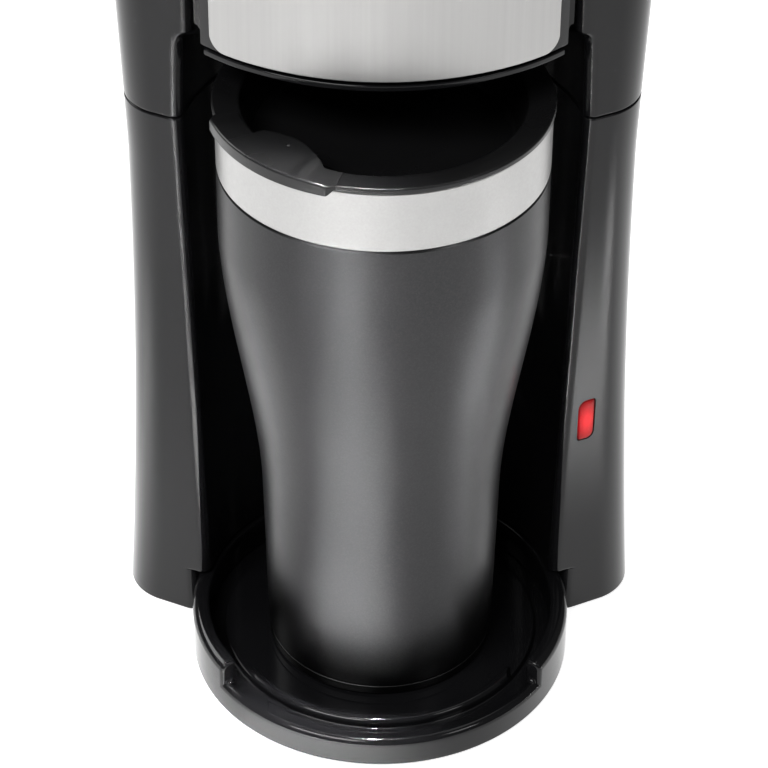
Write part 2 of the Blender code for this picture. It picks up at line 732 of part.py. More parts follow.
def heater(alloy, steel, board):
    path = heater_path()
    low, high = HEATER_Z
    section = [(-6.0, low), (6.0, low), (7.5, low + 2.0), (7.5, high - 2.0), (6.0, high),
               (-6.0, high), (-7.5, high - 2.0), (-7.5, low + 2.0)]
    loops = []
    for i, (x, y) in enumerate(path):
        before = Vector(path[max(i - 1, 0)])
        after = Vector(path[min(i + 1, len(path) - 1)])
        along = (after - before).normalized()
        loops.append([(x - along.y * s, y + along.x * s, z) for s, z in section])
    loft("heater_body", loops, alloy)
    middle = (low + high) / 2.0
    for name, y in (
        ("heater_inlet_tube", HEATER_Y - HEATER_BEND_R), ("heater_outlet_tube", HEATER_Y + HEATER_BEND_R),
    ):
        near, far = (HEATER_LEG_X - GAP, y, middle), (HEATER_LEG_X - HEATER_TUBE, y, middle)
        rod(name, near, far, 3.4, alloy)
    bend_x = HEATER_BEND_X + HEATER_BEND_R
    revolve("thermostat", [
        (0.0, high + GAP), (8.0, high + GAP), (8.0, high + 2.2), (6.4, high + 2.2), (6.4, high + 6.0),
        (0.0, high + 6.0),
    ], steel, (bend_x, HEATER_Y), steps=20)
    for name, y in (
        ("thermal_fuse_front", HEATER_Y - HEATER_BEND_R), ("thermal_fuse_rear", HEATER_Y + HEATER_BEND_R),
    ):
        rod(name, (-32.0, y, high + 2.8), (-17.0, y, high + 2.8), 2.4, board, 12)
    strap(steel)


def strap(look):
    """A folded strip across both legs of the heater, held down by a screw at each end."""
    high = HEATER_Z[1]
    low_y, high_y = HEATER_Y - HEATER_BEND_R - 9.0, HEATER_Y + HEATER_BEND_R + 9.0
    foot_z, under_z = 4.0, high + 0.4
    top_z = under_z + STRAP_THICK
    inner_low, inner_high = low_y + STRAP_THICK, high_y - STRAP_THICK
    profile = [(low_y, foot_z), (low_y, top_z), (high_y, top_z), (high_y, foot_z)]
    profile += [(inner_high, foot_z), (inner_high, under_z), (inner_low, under_z), (inner_low, foot_z)]
    loft("heater_strap", [[(x, y, z) for y, z in profile] for x in STRAP_X], look)
    x, z = sum(STRAP_X) / 2.0, 10.0
    for name, y, side in (("strap_screw_front", low_y, -1.0), ("strap_screw_rear", high_y, 1.0)):
        rod(name, (x, y + side * GAP, z), (x, y + side * 2.0, z), 2.6, look, 10)


def hoses(look, clip_look):
    """Reservoir to check valve to heater, and heater up to the spray arm."""
    valve = VALVE_XY
    valve_low, valve_high = VALVE_Z
    rod("reservoir_hose", (*valve, 138.6), (*valve, valve_high + 0.4), HOSE_R, look, 14)
    middle = sum(HEATER_Z) / 2.0
    heater_x = HEATER_LEG_X - HEATER_TUBE - 0.4
    front_y, rear_y = HEATER_Y - HEATER_BEND_R, HEATER_Y + HEATER_BEND_R
    tube("valve_hose", [
        (*valve, valve_low - 0.4), (-44.6, 90.0, 60.0), (-50.0, 86.5, 46.0), (-59.0, 79.5, 33.5),
        (-62.0, 73.0, 24.0), (-56.5, 69.0, middle + 0.4), (heater_x, front_y, middle),
    ], HOSE_R, look, count=18)
    tube("riser_hose", [
        (heater_x, rear_y, middle), (-56.0, 111.0, middle + 0.6), (-61.0, 107.0, 30.0),
        (-61.8, 100.0, 48.0), (RISER_X, 94.0, 80.0), (RISER_X, RISER_Y, 130.0),
        (RISER_X, RISER_Y, 190.0), (RISER_X, RISER_Y, 246.6),
    ], HOSE_R, look, count=26)
    clips = {
        "hose_clip_reservoir": (valve, 130.0), "hose_clip_valve_top": (valve, 97.0),
        "hose_clip_valve_bottom": (valve, 65.0), "hose_clip_riser": ((RISER_X, RISER_Y), 236.0),
    }
    for name, (centre, z) in clips.items():
        inner, outer = HOSE_R + 0.35, HOSE_R + 1.3
        revolve(name, [(inner, z - 2.0), (outer, z - 2.0), (outer, z + 2.0), (inner, z + 2.0)],
                clip_look, centre, steps=14)


def check_valve(body_look, ball_look):
    """An upright valve: its loose ball lies low, and steam pushing back lifts it to close the top."""
    low, high = VALVE_Z
    revolve("check_valve", [
        (1.8, low), (5.0, low), (6.6, low + 3.2), (6.6, high - 6.2), (5.0, high), (1.8, high),
        (1.8, 83.5), (4.2, 80.5), (4.2, 76.0), (1.8, 73.0),
    ], body_look, VALVE_XY, steps=18)
    middle = (*VALVE_XY, VALVE_BALL_Z)
    bm = bmesh.new()
    bmesh.ops.create_icosphere(bm, subdivisions=2, radius=VALVE_BALL_R)
    bmesh.ops.translate(bm, vec=middle, verts=bm.verts)
    move_origin(add("valve_ball", bm, ball_look), middle)


# ---------------------------------------------------------------- electrics

def face_axes():
    """Along and out of the right pillar's front face, in plan."""
    along = Vector((1.0, FRONT_SLOPE, 0.0)).normalized()
    return along, Vector((along.y, -along.x, 0.0))


def button_point(along, depth, z):
    """A point by its distance along the pillar's face from the button, its depth and its height."""
    direction, outward = face_axes()
    middle = Vector((BUTTON_X, front_line(BUTTON_X, BUTTON_Z), 0.0))
    place = middle + direction * along - outward * depth
    return (place.x, place.y, z)


def button_outline(grow=0.0):
    """A tall lens: two opposite corners are rounded and the other two are nearly sharp."""
    half_w, half_h = BUTTON_HALF_W + grow, BUTTON_HALF_H + grow
    large, small = BUTTON_CORNER_R + grow, 0.6 + grow
    points = []
    for quarter, (sx, sy, radius) in enumerate((
        (1, 1, small), (-1, 1, large), (-1, -1, small), (1, -1, large),
    )):
        middle = (sx * (half_w - radius), sy * (half_h - radius))
        points += arc(middle, radius, 90.0 * quarter, 90.0 * quarter + 90.0, 3)
    return points


def power_button(look):
    loops = []
    for depth, grow in ((-0.5, -0.5), (-0.1, 0.0), (BUTTON_DEPTH, 0.0)):
        loops.append([button_point(a, depth, BUTTON_Z + h) for a, h in button_outline(grow)])
    button = loft("power_button", loops, look)
    move_origin(button, button_point(0.0, 0.0, BUTTON_Z))
    hole = [
        [button_point(a, depth, BUTTON_Z + h) for a, h in button_outline(0.35)]
        for depth in (-4.0, 4.6)
    ]
    cut(bpy.data.objects["lower_housing"], loft("button_hole", hole, look))


def switch(body_look, lamp_look):
    """The switch sits behind the lower half of the button and the lamp behind the upper half."""
    near, far = SWITCH_DEPTH, SWITCH_DEPTH + 9.0
    outline = [(-1.8, near), (7.2, near), (7.2, far), (-1.8, far)]
    loops = [[button_point(a, depth, z) for a, depth in outline] for z in (60.0, 72.5)]
    loft("switch_body", loops, body_look)
    lamp_z = BUTTON_Z + 4.5
    ends = button_point(0.3, near, lamp_z), button_point(0.3, near + 5.1, lamp_z)
    rod("indicator_lamp", *ends, 1.6, lamp_look, 12)


def cord_gland(look):
    """The bushing in the rear wall where a mains lead would enter."""
    wall = back_edge(GLAND_Z)
    profile = [
        (GLAND_HOLE_R, 0.0), (6.6, 0.0), (6.6, -1.1), (4.6, -1.1), (4.6, -5.4), (6.2, -5.4),
        (6.2, -7.2), (GLAND_HOLE_R, -7.2),
    ]
    bm = bmesh.new()
    rings = []
    for radius, depth in profile:
        turn = [2.0 * math.pi * i / 20 for i in range(20)]
        rings.append([
            (GLAND_X + radius * math.cos(a), GLAND_END_Y + depth, GLAND_Z + radius * math.sin(a))
            for a in turn
        ])
    skin(bm, rings, closed=True)
    add("cord_gland", bm, look)
    hole = rod("gland_hole", (GLAND_X, wall - 9.0, GLAND_Z), (GLAND_X, wall + 9.0, GLAND_Z), 4.9, look, 20)
    cut(bpy.data.objects["lower_housing"], hole)


def terminals_and_wires(board, red, blue, white):
    block("terminal_block", (50.0, 86.0, 3.2), (63.0, 99.0, 14.0), board)
    tube("wire_supply", [
        (GLAND_X, 121.0, GLAND_Z), (44.6, 115.0, 15.5), (50.0, 109.0, 13.5), (56.0, 105.0, 10.0),
        (56.5, 99.5, 9.0),
    ], 1.7, white, count=12)
    tube("wire_switch", [
        (58.0, 92.0, 14.4), (58.0, 91.0, 20.0), (62.0, 78.0, 28.0), (65.5, 60.0, 38.0),
        (65.5, 45.0, 52.0), (60.5, 37.0, 63.0), (56.9, 30.7, 66.0),
    ], 1.1, red, count=16)
    tube("wire_heater", [
        (53.0, 90.0, 14.4), (53.0, 90.0, 21.0), (48.5, 90.0, 32.0), (40.0, 90.0, 39.0),
        (32.0, 90.0, 39.5), (30.0, 90.0, 33.5),
    ], 1.1, blue, count=12)


# ---------------------------------------------------------------- travel mug

def smooth_step(low, high, value):
    t = min(max((value - low) / (high - low), 0.0), 1.0)
    return t * t * (3.0 - 2.0 * t)


def mug_radius(z):
    """The mug's outside: nearly straight below, then one soft swelling up to the shoulder."""
    return 32.6 + 0.022 * (z - 10.0) + 8.7 * smooth_step(62.0, 150.0, z)


def travel_mug(coat, steel):
    centre = (0.0, MUG_Y)
    low = MUG_FOOT_Z + 3.2
    heights = [low + 1.4, 60.0, 76.0, 88.0, 100.0, 112.0, 124.0, 138.0, BAND_LOW_Z - GAP]
    top_r = COLLAR_R
    outer = [(min(mug_radius(z), top_r), z) for z in heights]
    inner = [(r - 0.9, max(z, low + 2.2)) for r, z in reversed(outer[::2])]
    body = [(0.0, low), (31.4, low)] + outer + inner + [(31.0, low + 0.9), (0.0, low + 0.9)]
    revolve("mug_body", body, coat, centre, steps=36)
    revolve("mug_collar", [
        (42.9, BAND_LOW_Z), (top_r, BAND_LOW_Z), (top_r, MUG_TOP_Z - 0.5), (top_r - 0.4, MUG_TOP_Z),
        (42.9, MUG_TOP_Z),
    ], steel, centre, steps=36)
    liner_heights = [16.0, 70.0, 90.0, 108.0, 126.0, 148.0, MUG_TOP_Z - 0.2]
    outside = [(min(mug_radius(z) - 2.6 - 0.6 * (z < 130.0), 42.6), z) for z in liner_heights]
    inside = [(r - 0.7, z) for r, z in reversed(outside)]
    revolve("mug_liner", [(0.0, 14.0), (27.0, 14.0)] + outside + inside[:-1] + [
        (inside[-1][0], 17.0), (26.8, 14.8), (0.0, 14.8),
    ], steel, centre, steps=36)
    revolve("mug_base", [
        (0.0, MUG_FOOT_Z), (31.8, MUG_FOOT_Z), (32.5, MUG_FOOT_Z + 0.7), (32.5, low - GAP),
        (0.0, low - GAP),
    ], coat, centre, steps=36)


def mug_lid(look, seal_look):
    """The ring-shaped lid with its deep dish, drinking hole and sealing ring."""
    centre = (0.0, MUG_Y)
    low = MUG_TOP_Z + GAP
    under = DISH_FLOOR_Z - 1.5
    skirt_r, groove_r = 41.2, 40.3
    groove_low, groove_high = GASKET_Z
    profile = [
        (0.0, under), (DISH_R - 1.0, under), (36.4, groove_low - 1.8), (skirt_r, groove_low - 1.8),
        (skirt_r, groove_low), (groove_r, groove_low), (groove_r, groove_high),
        (skirt_r, groove_high), (skirt_r, low), (LID_FLANGE_R, low), (LID_FLANGE_R, low + 1.2),
        (LID_FLANGE_R - 0.5, low + 1.7), (38.5, low + 1.2), (37.7, low + 0.6),
        (DISH_R, DISH_FLOOR_Z + 0.9), (DISH_R - 1.2, DISH_FLOOR_Z), (0.0, DISH_FLOOR_Z),
    ]
    lid = revolve("mug_lid", profile, look, centre, steps=36)
    hole = (DRINK_HOLE_X, MUG_Y - 19.5)
    cut(lid, prism("drink_hole", circle(DRINK_HOLE_R, hole, 20), 170.0, 180.0, look))
    near, far = groove_r + GAP, skirt_r + 0.35
    revolve("lid_gasket", [
        (near, groove_low + 0.4), (far, groove_low + 0.9), (far, groove_high - 0.8),
        (near, groove_high - 0.4),
    ], seal_look, centre, steps=36)


def drink_slider(look):
    """The sliding closure that lies over the ring's left front and laps over its edge."""
    top = MUG_TOP_Z + 3.1
    under = MUG_TOP_Z + 2.3
    lip = MUG_TOP_Z - 0.6
    start, end = SLIDER_DEG
    hook_r = LID_FLANGE_R + 0.35

    def slider_loop(angle, inner):
        a = math.radians(angle)
        section = [
            (inner, under), (hook_r, under), (hook_r, lip), (SLIDER_R - 0.3, lip),
            (SLIDER_R, lip + 0.3), (SLIDER_R, top - 0.4), (SLIDER_R - 0.5, top), (inner, top),
        ]
        return [(r * math.sin(a), MUG_Y - r * math.cos(a), z) for r, z in section]

    loops = []
    for i in range(19):
        angle = start + (end - start) * i / 18
        reach = smooth_step(-58.0, -52.0, angle) * (1.0 - smooth_step(-36.0, -25.0, angle))
        loops.append(slider_loop(angle, SLIDER_EDGE_R - SLIDER_TONGUE * reach))
    loft("drink_slider", loops, look)


# ---------------------------------------------------------------- assembly

def carrier(name, place, pieces):
    """An empty on a joint's axis that carries the pieces which move together there."""
    empty = bpy.data.objects.new(name, None)
    bpy.context.scene.collection.objects.link(empty)
    empty.parent = machine
    empty.location = Vector(place) * MM
    for piece in pieces:
        obj = bpy.data.objects[piece]
        move_origin(obj, place)
        obj.location = (0.0, 0.0, 0.0)
        obj.parent = empty
    return empty


def build():
    black = material("glossy_black_plastic", (0.018, 0.018, 0.02), 0.18)
    satin = material("satin_black_plastic", (0.02, 0.02, 0.022), 0.35)
    inside = material("inner_plastic", (0.06, 0.06, 0.065), 0.5)
    clear = material("reservoir_plastic", (0.55, 0.56, 0.58), 0.4)
    brushed = material("brushed_steel", (0.62, 0.61, 0.6), 0.32, 1.0)
    steel = material("bright_steel", (0.78, 0.77, 0.76), 0.22, 1.0)
    zinc = material("zinc_steel", (0.6, 0.6, 0.62), 0.35, 1.0)
    alloy = material("cast_alloy", (0.66, 0.67, 0.68), 0.45, 1.0)
    coat = material("gunmetal_coat", (0.09, 0.09, 0.095), 0.32, 0.85)
    lid_black = material("lid_plastic", (0.02, 0.02, 0.021), 0.38)
    rubber = material("rubber", (0.025, 0.025, 0.025), 0.8)
    silicone = material("silicone", (0.75, 0.74, 0.7), 0.5)
    red = material("red_lens", (0.75, 0.02, 0.03), 0.2)
    board = material("terminal_plastic", (0.75, 0.73, 0.68), 0.6)
    red_wire = material("red_insulation", (0.5, 0.03, 0.03), 0.45)
    blue_wire = material("blue_insulation", (0.03, 0.1, 0.4), 0.45)
    white_wire = material("white_insulation", (0.8, 0.8, 0.78), 0.45)

    base_tray(black)
    lower_housing(black)
    upper_housing(black)
    bottom_covers(satin)
    feet(rubber)
    cover_screws(zinc)
    front_panel(brushed)
    head_base(black)
    top_lid(black)
    hinge_pins(zinc)
    top_deck(inside)
    reservoir(clear)
    brew_basket(inside)
    permanent_filter(inside, steel)
    spray_head(inside)
    heater(alloy, zinc, board)
    hoses(silicone, zinc)
    check_valve(clear, silicone)
    power_button(red)
    switch(inside, red)
    cord_gland(rubber)
    terminals_and_wires(board, red_wire, blue_wire, white_wire)
    travel_mug(coat, steel)
    mug_lid(lid_black, silicone)
    drink_slider(lid_black)
    foot = (0.0, MUG_Y, MUG_FOOT_Z)
    carrier("travel_mug", foot, ("mug_body", "mug_collar", "mug_liner", "mug_base"))
    carrier("mug_closure", foot, ("mug_lid", "lid_gasket", "drink_slider"))


clear_scene()
machine = bpy.data.objects.new("coffee_maker", None)
machine.location = ORIGIN
bpy.context.scene.collection.objects.link(machine)
build()
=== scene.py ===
"""The looks of a single-cup drip coffee maker with its travel mug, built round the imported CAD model.

Shapes are in millimetres from the centre of the round base tray, at the foot of its skirt: x to the
right, y to the back and z up. placed() turns them into the row frame, and the main sizes are read
from the CAD nodes.
"""

import json
import math

import bmesh
import bpy
from mathutils import Matrix, Vector

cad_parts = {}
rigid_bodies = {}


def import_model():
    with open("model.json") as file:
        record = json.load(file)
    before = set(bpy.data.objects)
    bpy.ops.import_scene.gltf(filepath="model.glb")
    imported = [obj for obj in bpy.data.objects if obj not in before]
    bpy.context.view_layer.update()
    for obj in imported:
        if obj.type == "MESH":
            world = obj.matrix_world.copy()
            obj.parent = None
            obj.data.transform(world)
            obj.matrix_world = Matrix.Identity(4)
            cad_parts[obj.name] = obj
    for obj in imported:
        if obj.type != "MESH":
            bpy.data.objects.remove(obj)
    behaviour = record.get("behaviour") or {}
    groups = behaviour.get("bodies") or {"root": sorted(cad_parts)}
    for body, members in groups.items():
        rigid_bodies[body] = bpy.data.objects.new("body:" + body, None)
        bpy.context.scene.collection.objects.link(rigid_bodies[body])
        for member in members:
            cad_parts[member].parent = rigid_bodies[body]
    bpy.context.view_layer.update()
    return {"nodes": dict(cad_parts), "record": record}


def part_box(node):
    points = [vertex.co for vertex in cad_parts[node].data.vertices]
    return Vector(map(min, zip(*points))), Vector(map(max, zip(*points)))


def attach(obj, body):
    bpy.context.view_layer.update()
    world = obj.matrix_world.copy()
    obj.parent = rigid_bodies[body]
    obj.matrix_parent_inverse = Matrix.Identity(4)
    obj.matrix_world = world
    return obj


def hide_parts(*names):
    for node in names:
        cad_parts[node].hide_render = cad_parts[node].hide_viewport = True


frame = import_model()

MM = 0.001
TRAY_LOW, TRAY_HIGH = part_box("base_tray")
CENTRE = Vector(((TRAY_LOW.x + TRAY_HIGH.x) / 2.0, (TRAY_LOW.y + TRAY_HIGH.y) / 2.0, TRAY_LOW.z))


def span(node):
    """A CAD node's lowest and highest corners in millimetres from the tray's centre."""
    low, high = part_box(node)
    return (low - CENTRE) / MM, (high - CENTRE) / MM


# Tray
TRAY_R = span("base_tray")[1].x
SIDE_RIM_Z = span("base_tray")[1].z
FRONT_RIM_Z = 8.8
RIM_BURIED_Z = 6.2
TRAY_FLOOR_Z = 5.6
TRAY_UNDER_Z = 3.2
PLATFORM_Z = 7.0
RIM_INNER_R = 50.1
FRONT_RIM_INNER_R = 53.3
SKIRT_INNER_R = 52.6
GROOVE_OUTER_R = 51.2
RIM_STEP_DEG = 55.8
RIB_R = (43.2, 46.0)
RIB_Z = (5.0, 8.4)
RIB_END_DEG = 58.6
RIB_END_SLANT_DEG = 0.95

# Housing
SEAM_LOW_Z = span("lower_housing")[1].z
SEAM_HIGH_Z = span("upper_housing")[0].z
SEAM_Z = (SEAM_LOW_Z + SEAM_HIGH_Z) / 2.0
HOUSING_TOP_Z = 262.0
NOTCH_TOP_Z = 16.0
NOTCH_R = TRAY_R + 0.3
WAIST_Z = 158.0
WAIST_HALF = 69.4
FOOT_FLARE = 5.9
TOP_FLARE = 4.2
BACK_Y = 127.0
WALL = 2.5
FRONT_SLOPE = 0.48
FRONT_X = 54.5
FRONT_Y = 10.5
FRONT_LEAN = 0.0154
TIP_LOW_X = 50.4
TIP_RISE_X = 3.3
TIP_HIGH_X = 53.7
TIP_CLOSING = 0.03
CREASE_R = 15.5
BACK_CORNER_R = 20.0
EDGE_R = 2.6
INNER_EDGE_R = 0.8
FOOT_EASE = 0.7
NOTCH_EASE = 1.0
SEAM_EASE = 0.6
SEAM_LIP = 9.0
GLAND_R = 5.0
FRONT_COUNT = 14
EDGE_STEPS = 8
BAY_COUNT = 119
HEAD_COUNT = BAY_COUNT - 6

# Brew head and top
HEAD_FLOOR_Z = 202.0
HEAD_CENTRE_Y = 49.4
HEAD_R = 67.7
HEAD_EASE = 0.6
HEAD_TOP_EASE = 0.5
HEAD_INNER_HALF = 43.5
PANEL_R = 68.8
PANEL_SHEET = 0.8
PANEL_CORNER_R = 5.0
PANEL_EASE = 0.35
PANEL_HALF = span("front_panel")[1].x - 1.9
PANEL_LOW_Z = span("front_panel")[0].z
PANEL_HIGH_Z = span("front_panel")[1].z
HEAD_BASE_Z = (span("head_base")[0].z, span("head_base")[1].z)
HEAD_BASE_R = PANEL_R - 0.7
HEAD_BASE_HALF = 46.5
HEAD_BASE_BAY_R = 49.5
HEAD_BASE_EASE = 0.45
GROOVE_X = (47.4, 49.4)
GROOVE_Y = (4.0, 9.5)
ARCH_R = 4.0
ARCH_SPREAD = 1.06
DECK_Z = span("top_deck")[0].z
BASKET_Y = 27.5
OUTLET_R = 5.0
LID_LOW_Z = HOUSING_TOP_Z + 0.3
LID_SIDE_Z = 270.0
LID_TOP_Z = 281.0
LID_UNDER_Z = 278.4
LID_WALL = 2.4
LID_CROWN = 30.0
LID_CROWN_POWER = 2.2
LID_CENTRE_Y = 46.0
LID_REAR_Y = 112.9
LID_CORNER_X = 51.5
TAB_HALF = 13.0
TAB_Y = (-26.5, -14.5)
TAB_Z = (264.0, 266.6)
TAB_EASE = 0.6
BRIDGE_FRONT_Y = 113.2
BRIDGE_SIDE_Z = 271.5
BRIDGE_RISE = 4.1
BRIDGE_EDGE_R = 3.6
HINGE_X = 36.0
HINGE_Y = 116.5
HINGE_Z = 279.2
KNUCKLE_R = 3.2
KNUCKLE_HALF = 5.6
EAR_X = (5.9, 10.0)

# Travel mug
MUG_Y = (span("mug_base")[0].y + span("mug_base")[1].y) / 2.0
MUG_FOOT_Z = span("mug_base")[0].z
BODY_Z = (span("mug_body")[0].z, span("mug_body")[1].z)
BAND_Z = (span("mug_collar")[0].z, span("mug_collar")[1].z)
COLLAR_R = span("mug_collar")[1].x
LID_FLANGE_R = span("mug_lid")[1].x
LID_Z = (span("mug_lid")[0].z, span("mug_lid")[1].z)
MUG_CENTRE = (0.0, MUG_Y)
MUG_R = 32.6
MUG_TAPER = 0.022
MUG_SWELL = 8.7
MUG_SWELL_Z = (62.0, 150.0)
MUG_WALL = 0.9
BAND_INNER_R = 42.9
LID_PLUG_R = 41.2
GASKET_GROOVE_R = 40.3
GASKET_GROOVE_Z = (181.2, 184.4)
PLUG_LOW_Z = 179.4
DISH_R = 34.9
DISH_FLOOR_Z = 176.0
DRINK_HOLE = (-17.5, MUG_Y - 19.5)
DRINK_HOLE_R = 5.5
SLIDER_LOW_Z = span("drink_slider")[0].z
SLIDER_R = 46.8
SLIDER_DEG = (-77.0, -16.0)
RING_INNER_R = 38.9
TONGUE_R = 31.7
TONGUE_START_DEG = -59.6
TONGUE_MIDDLE_DEG = -44.0
DIMPLE = (-24.5, -26.7)
DIMPLE_R = 0.75

# Power button, on the right pillar's front face
BUTTON_X = 58.9
BUTTON_Z = (span("power_button")[0].z + span("power_button")[1].z) / 2.0
BUTTON_HALF = (2.45, 6.8)
BUTTON_CORNER_R = 2.2
BUTTON_SHARP_R = 0.7
BUTTON_GAP = 0.35

# Camera, from the view that the object is seen in, lamps and floor, in metres
CAMERA_PLACE = (-0.009548, -0.717332, 0.605694)
CAMERA_DOWN = 0.644188
CAMERA_TURN = 0.014956
CAMERA_ROLL = -0.008476
CAMERA_LENS_MM = 142.94
LAMP_Z = 1.25
FLOOR_REACH = 20.0


# ---------------------------------------------------------------- mesh helpers

def placed(x, y, z):
    return CENTRE + Vector((x, y, z)) * MM


def skin(bm, loops, closed=False, caps=(True, True)):
    """Faces between each loop of points and the next; the first and last loops can be capped."""
    rings = [[bm.verts.new(placed(*point)) for point in loop] for loop in loops]
    pairs = list(zip(rings, rings[1:]))
    if closed:
        pairs.append((rings[-1], rings[0]))
    for low, high in pairs:
        for i in range(len(low)):
            j = (i + 1) % len(low)
            bm.faces.new((low[i], low[j], high[j], high[i]))
    for wanted, ring in zip(caps, (rings[0], rings[-1])):
        if wanted and not closed:
            bm.faces.new(ring)


def made(name, bm, slot, nodes=(), body="housing", sharp=38.0):
    """A smooth piece of the machine that rides on a CAD body and stands for CAD nodes."""
    bmesh.ops.remove_doubles(bm, verts=bm.verts, dist=1e-7)
    bmesh.ops.recalc_face_normals(bm, faces=bm.faces)
    mesh = bpy.data.meshes.new(name)
    bm.to_mesh(mesh)
    bm.free()
    mesh.materials.append(LOOKS[slot])
    mesh.shade_smooth()
    mesh.set_sharp_from_angle(angle=math.radians(sharp))
    obj = bpy.data.objects.new(name, mesh)
    bpy.context.scene.collection.objects.link(obj)
    even = obj.modifiers.new("flat faces stay flat", "WEIGHTED_NORMAL")
    even.keep_sharp = True
    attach(obj, body)
    if nodes:
        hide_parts(*nodes)
    return obj


def at_height(outline, z):
    return [(x, y, z) for x, y in outline]


def arc(centre, radius, start, end, steps):
    """Points from one angle to another, in degrees anticlockwise from +x."""
    turn = [math.radians(start + (end - start) * i / steps) for i in range(steps + 1)]
    return [(centre[0] + radius * math.cos(a), centre[1] + radius * math.sin(a)) for a in turn]


def between(start, end, count):
    """Evenly spaced points strictly between two others."""
    share = [(i + 1) / (count + 1) for i in range(count)]
    return [tuple(a + (b - a) * t for a, b in zip(start, end)) for t in share]


def rounded(corners, steps=5):
    """A closed outline of (u, v, radius) corners, each corner turned into an arc."""
    points = []
    for i, (u, v, radius) in enumerate(corners):
        here = Vector((u, v))
        if radius == 0.0:
            points.append((u, v))
            continue
        before = (Vector(corners[i - 1][:2]) - here).normalized()
        after = (Vector(corners[(i + 1) % len(corners)][:2]) - here).normalized()
        half = before.angle(after) / 2.0
        middle = here + (before + after).normalized() * radius / math.sin(half)
        start = here + before * radius / math.tan(half) - middle
        end = here + after * radius / math.tan(half) - middle
        first = math.atan2(start.y, start.x)
        swing = (math.atan2(end.y, end.x) - first + math.pi) % (2.0 * math.pi) - math.pi
        points += arc(middle, radius, math.degrees(first), math.degrees(first + swing), steps)
    return points


def revolve(bm, profile, centre=(0.0, 0.0), steps=144):
    """A closed outline of (radius, z) turned about a vertical axis; a radius of 0 is on the axis."""
    loops = []
    for i in range(steps):
        a = 2.0 * math.pi * i / steps
        loops.append([
            (centre[0] + r * math.sin(a), centre[1] - r * math.cos(a), z) for r, z in profile
        ])
    skin(bm, loops, closed=True)


def turned(name, corners, slot, node, body, steps=144):
    """A round piece of the mug from the corners of its section."""
    bm = bmesh.new()
    revolve(bm, rounded(corners), MUG_CENTRE, steps)
    return made(name, bm, slot, (node,), body)


def circle(centre, radius, count):
    return arc(centre, radius, 0.0, 360.0, count)[:-1]


def smooth_step(low, high, value):
    t = min(max((value - low) / (high - low), 0.0), 1.0)
    return t * t * (3.0 - 2.0 * t)


def quarter(radius, steps=5):
    """How far a rounded edge has come in, at each height above where it starts."""
    turn = [math.radians(90.0 * i / steps) for i in range(steps + 1)]
    return [(radius * math.sin(a), radius * (1.0 - math.cos(a))) for a in turn]


def cut(target, bm, name):
    """A Boolean cut by a hidden cutter, which is neither rendered nor part of the object."""
    bmesh.ops.recalc_face_normals(bm, faces=bm.faces)
    mesh = bpy.data.meshes.new(name)
    bm.to_mesh(mesh)
    bm.free()
    cutter = bpy.data.objects.new(name, mesh)
    bpy.context.scene.collection.objects.link(cutter)
    cutter.hide_render = True
    cutter.hide_viewport = True
    cutter.display_type = "WIRE"
    cutter.parent = target.parent
    modifier = target.modifiers.new(name, "BOOLEAN")
    modifier.operation = "DIFFERENCE"
    modifier.solver = "EXACT"
    modifier.object = cutter
    target.modifiers.move(len(target.modifiers) - 1, 0)


# ---------------------------------------------------------------- materials

class Look:
    """A Principled material with its nodes reached by short calls."""

    def __init__(self, name, colour, roughness, metallic=0.0, **sockets):
        self.material = bpy.data.materials.new(name)
        self.material.use_nodes = True
        self.tree = self.material.node_tree
        self.shader = self.tree.nodes["Principled BSDF"]
        self.shader.inputs["Base Color"].default_value = (*colour, 1.0)
        self.shader.inputs["Roughness"].default_value = roughness
        self.shader.inputs["Metallic"].default_value = metallic
        for socket, value in sockets.items():
            self.shader.inputs[socket.replace("_", " ")].default_value = value

    def node(self, kind, **settings):
        new = self.tree.nodes.new(kind)
        for key, value in settings.items():
            setattr(new, key, value)
        return new

    def link(self, output, target):
        self.tree.links.new(output, target)

    def place(self, stretch=(1.0, 1.0, 1.0)):
        """Object coordinates in metres, stretched so that a pattern runs along an axis."""
        source = self.node("ShaderNodeTexCoord")
        mapping = self.node("ShaderNodeMapping")
        mapping.inputs["Scale"].default_value = stretch
        self.link(source.outputs["Object"], mapping.inputs["Vector"])
        return mapping.outputs["Vector"]

    def noise(self, scale, detail=3.0, stretch=(1.0, 1.0, 1.0)):
        texture = self.node("ShaderNodeTexNoise")
        texture.inputs["Scale"].default_value = scale
        texture.inputs["Detail"].default_value = detail
        self.link(self.place(stretch), texture.inputs["Vector"])
        return texture.outputs["Fac"]

    def spread(self, factor, low, high):
        """The factor's middle range turned into values from low to high."""
        change = self.node("ShaderNodeMapRange")
        change.inputs["From Min"].default_value = 0.3
        change.inputs["From Max"].default_value = 0.7
        change.inputs["To Min"].default_value = low
        change.inputs["To Max"].default_value = high
        self.link(factor, change.inputs["Value"])
        return change.outputs["Result"]

    def tones(self, factor, stops):
        """A colour ramp from (place, colour) stops."""
        ramp = self.node("ShaderNodeValToRGB")
        for i, (place, colour) in enumerate(stops):
            stop = ramp.color_ramp.elements[i] if i < 2 else ramp.color_ramp.elements.new(place)
            stop.position = place
            stop.color = (*colour, 1.0)
        self.link(factor, ramp.inputs["Fac"])
        return ramp.outputs["Color"]

    def bump(self, factor, depth, strength):
        """Fine relief of this depth in metres."""
        relief = self.node("ShaderNodeBump")
        relief.inputs["Strength"].default_value = strength
        relief.inputs["Distance"].default_value = depth
        self.link(factor, relief.inputs["Height"])
        self.link(relief.outputs["Normal"], self.shader.inputs["Normal"])

    def vary(self, socket, value):
        self.link(value, self.shader.inputs[socket])


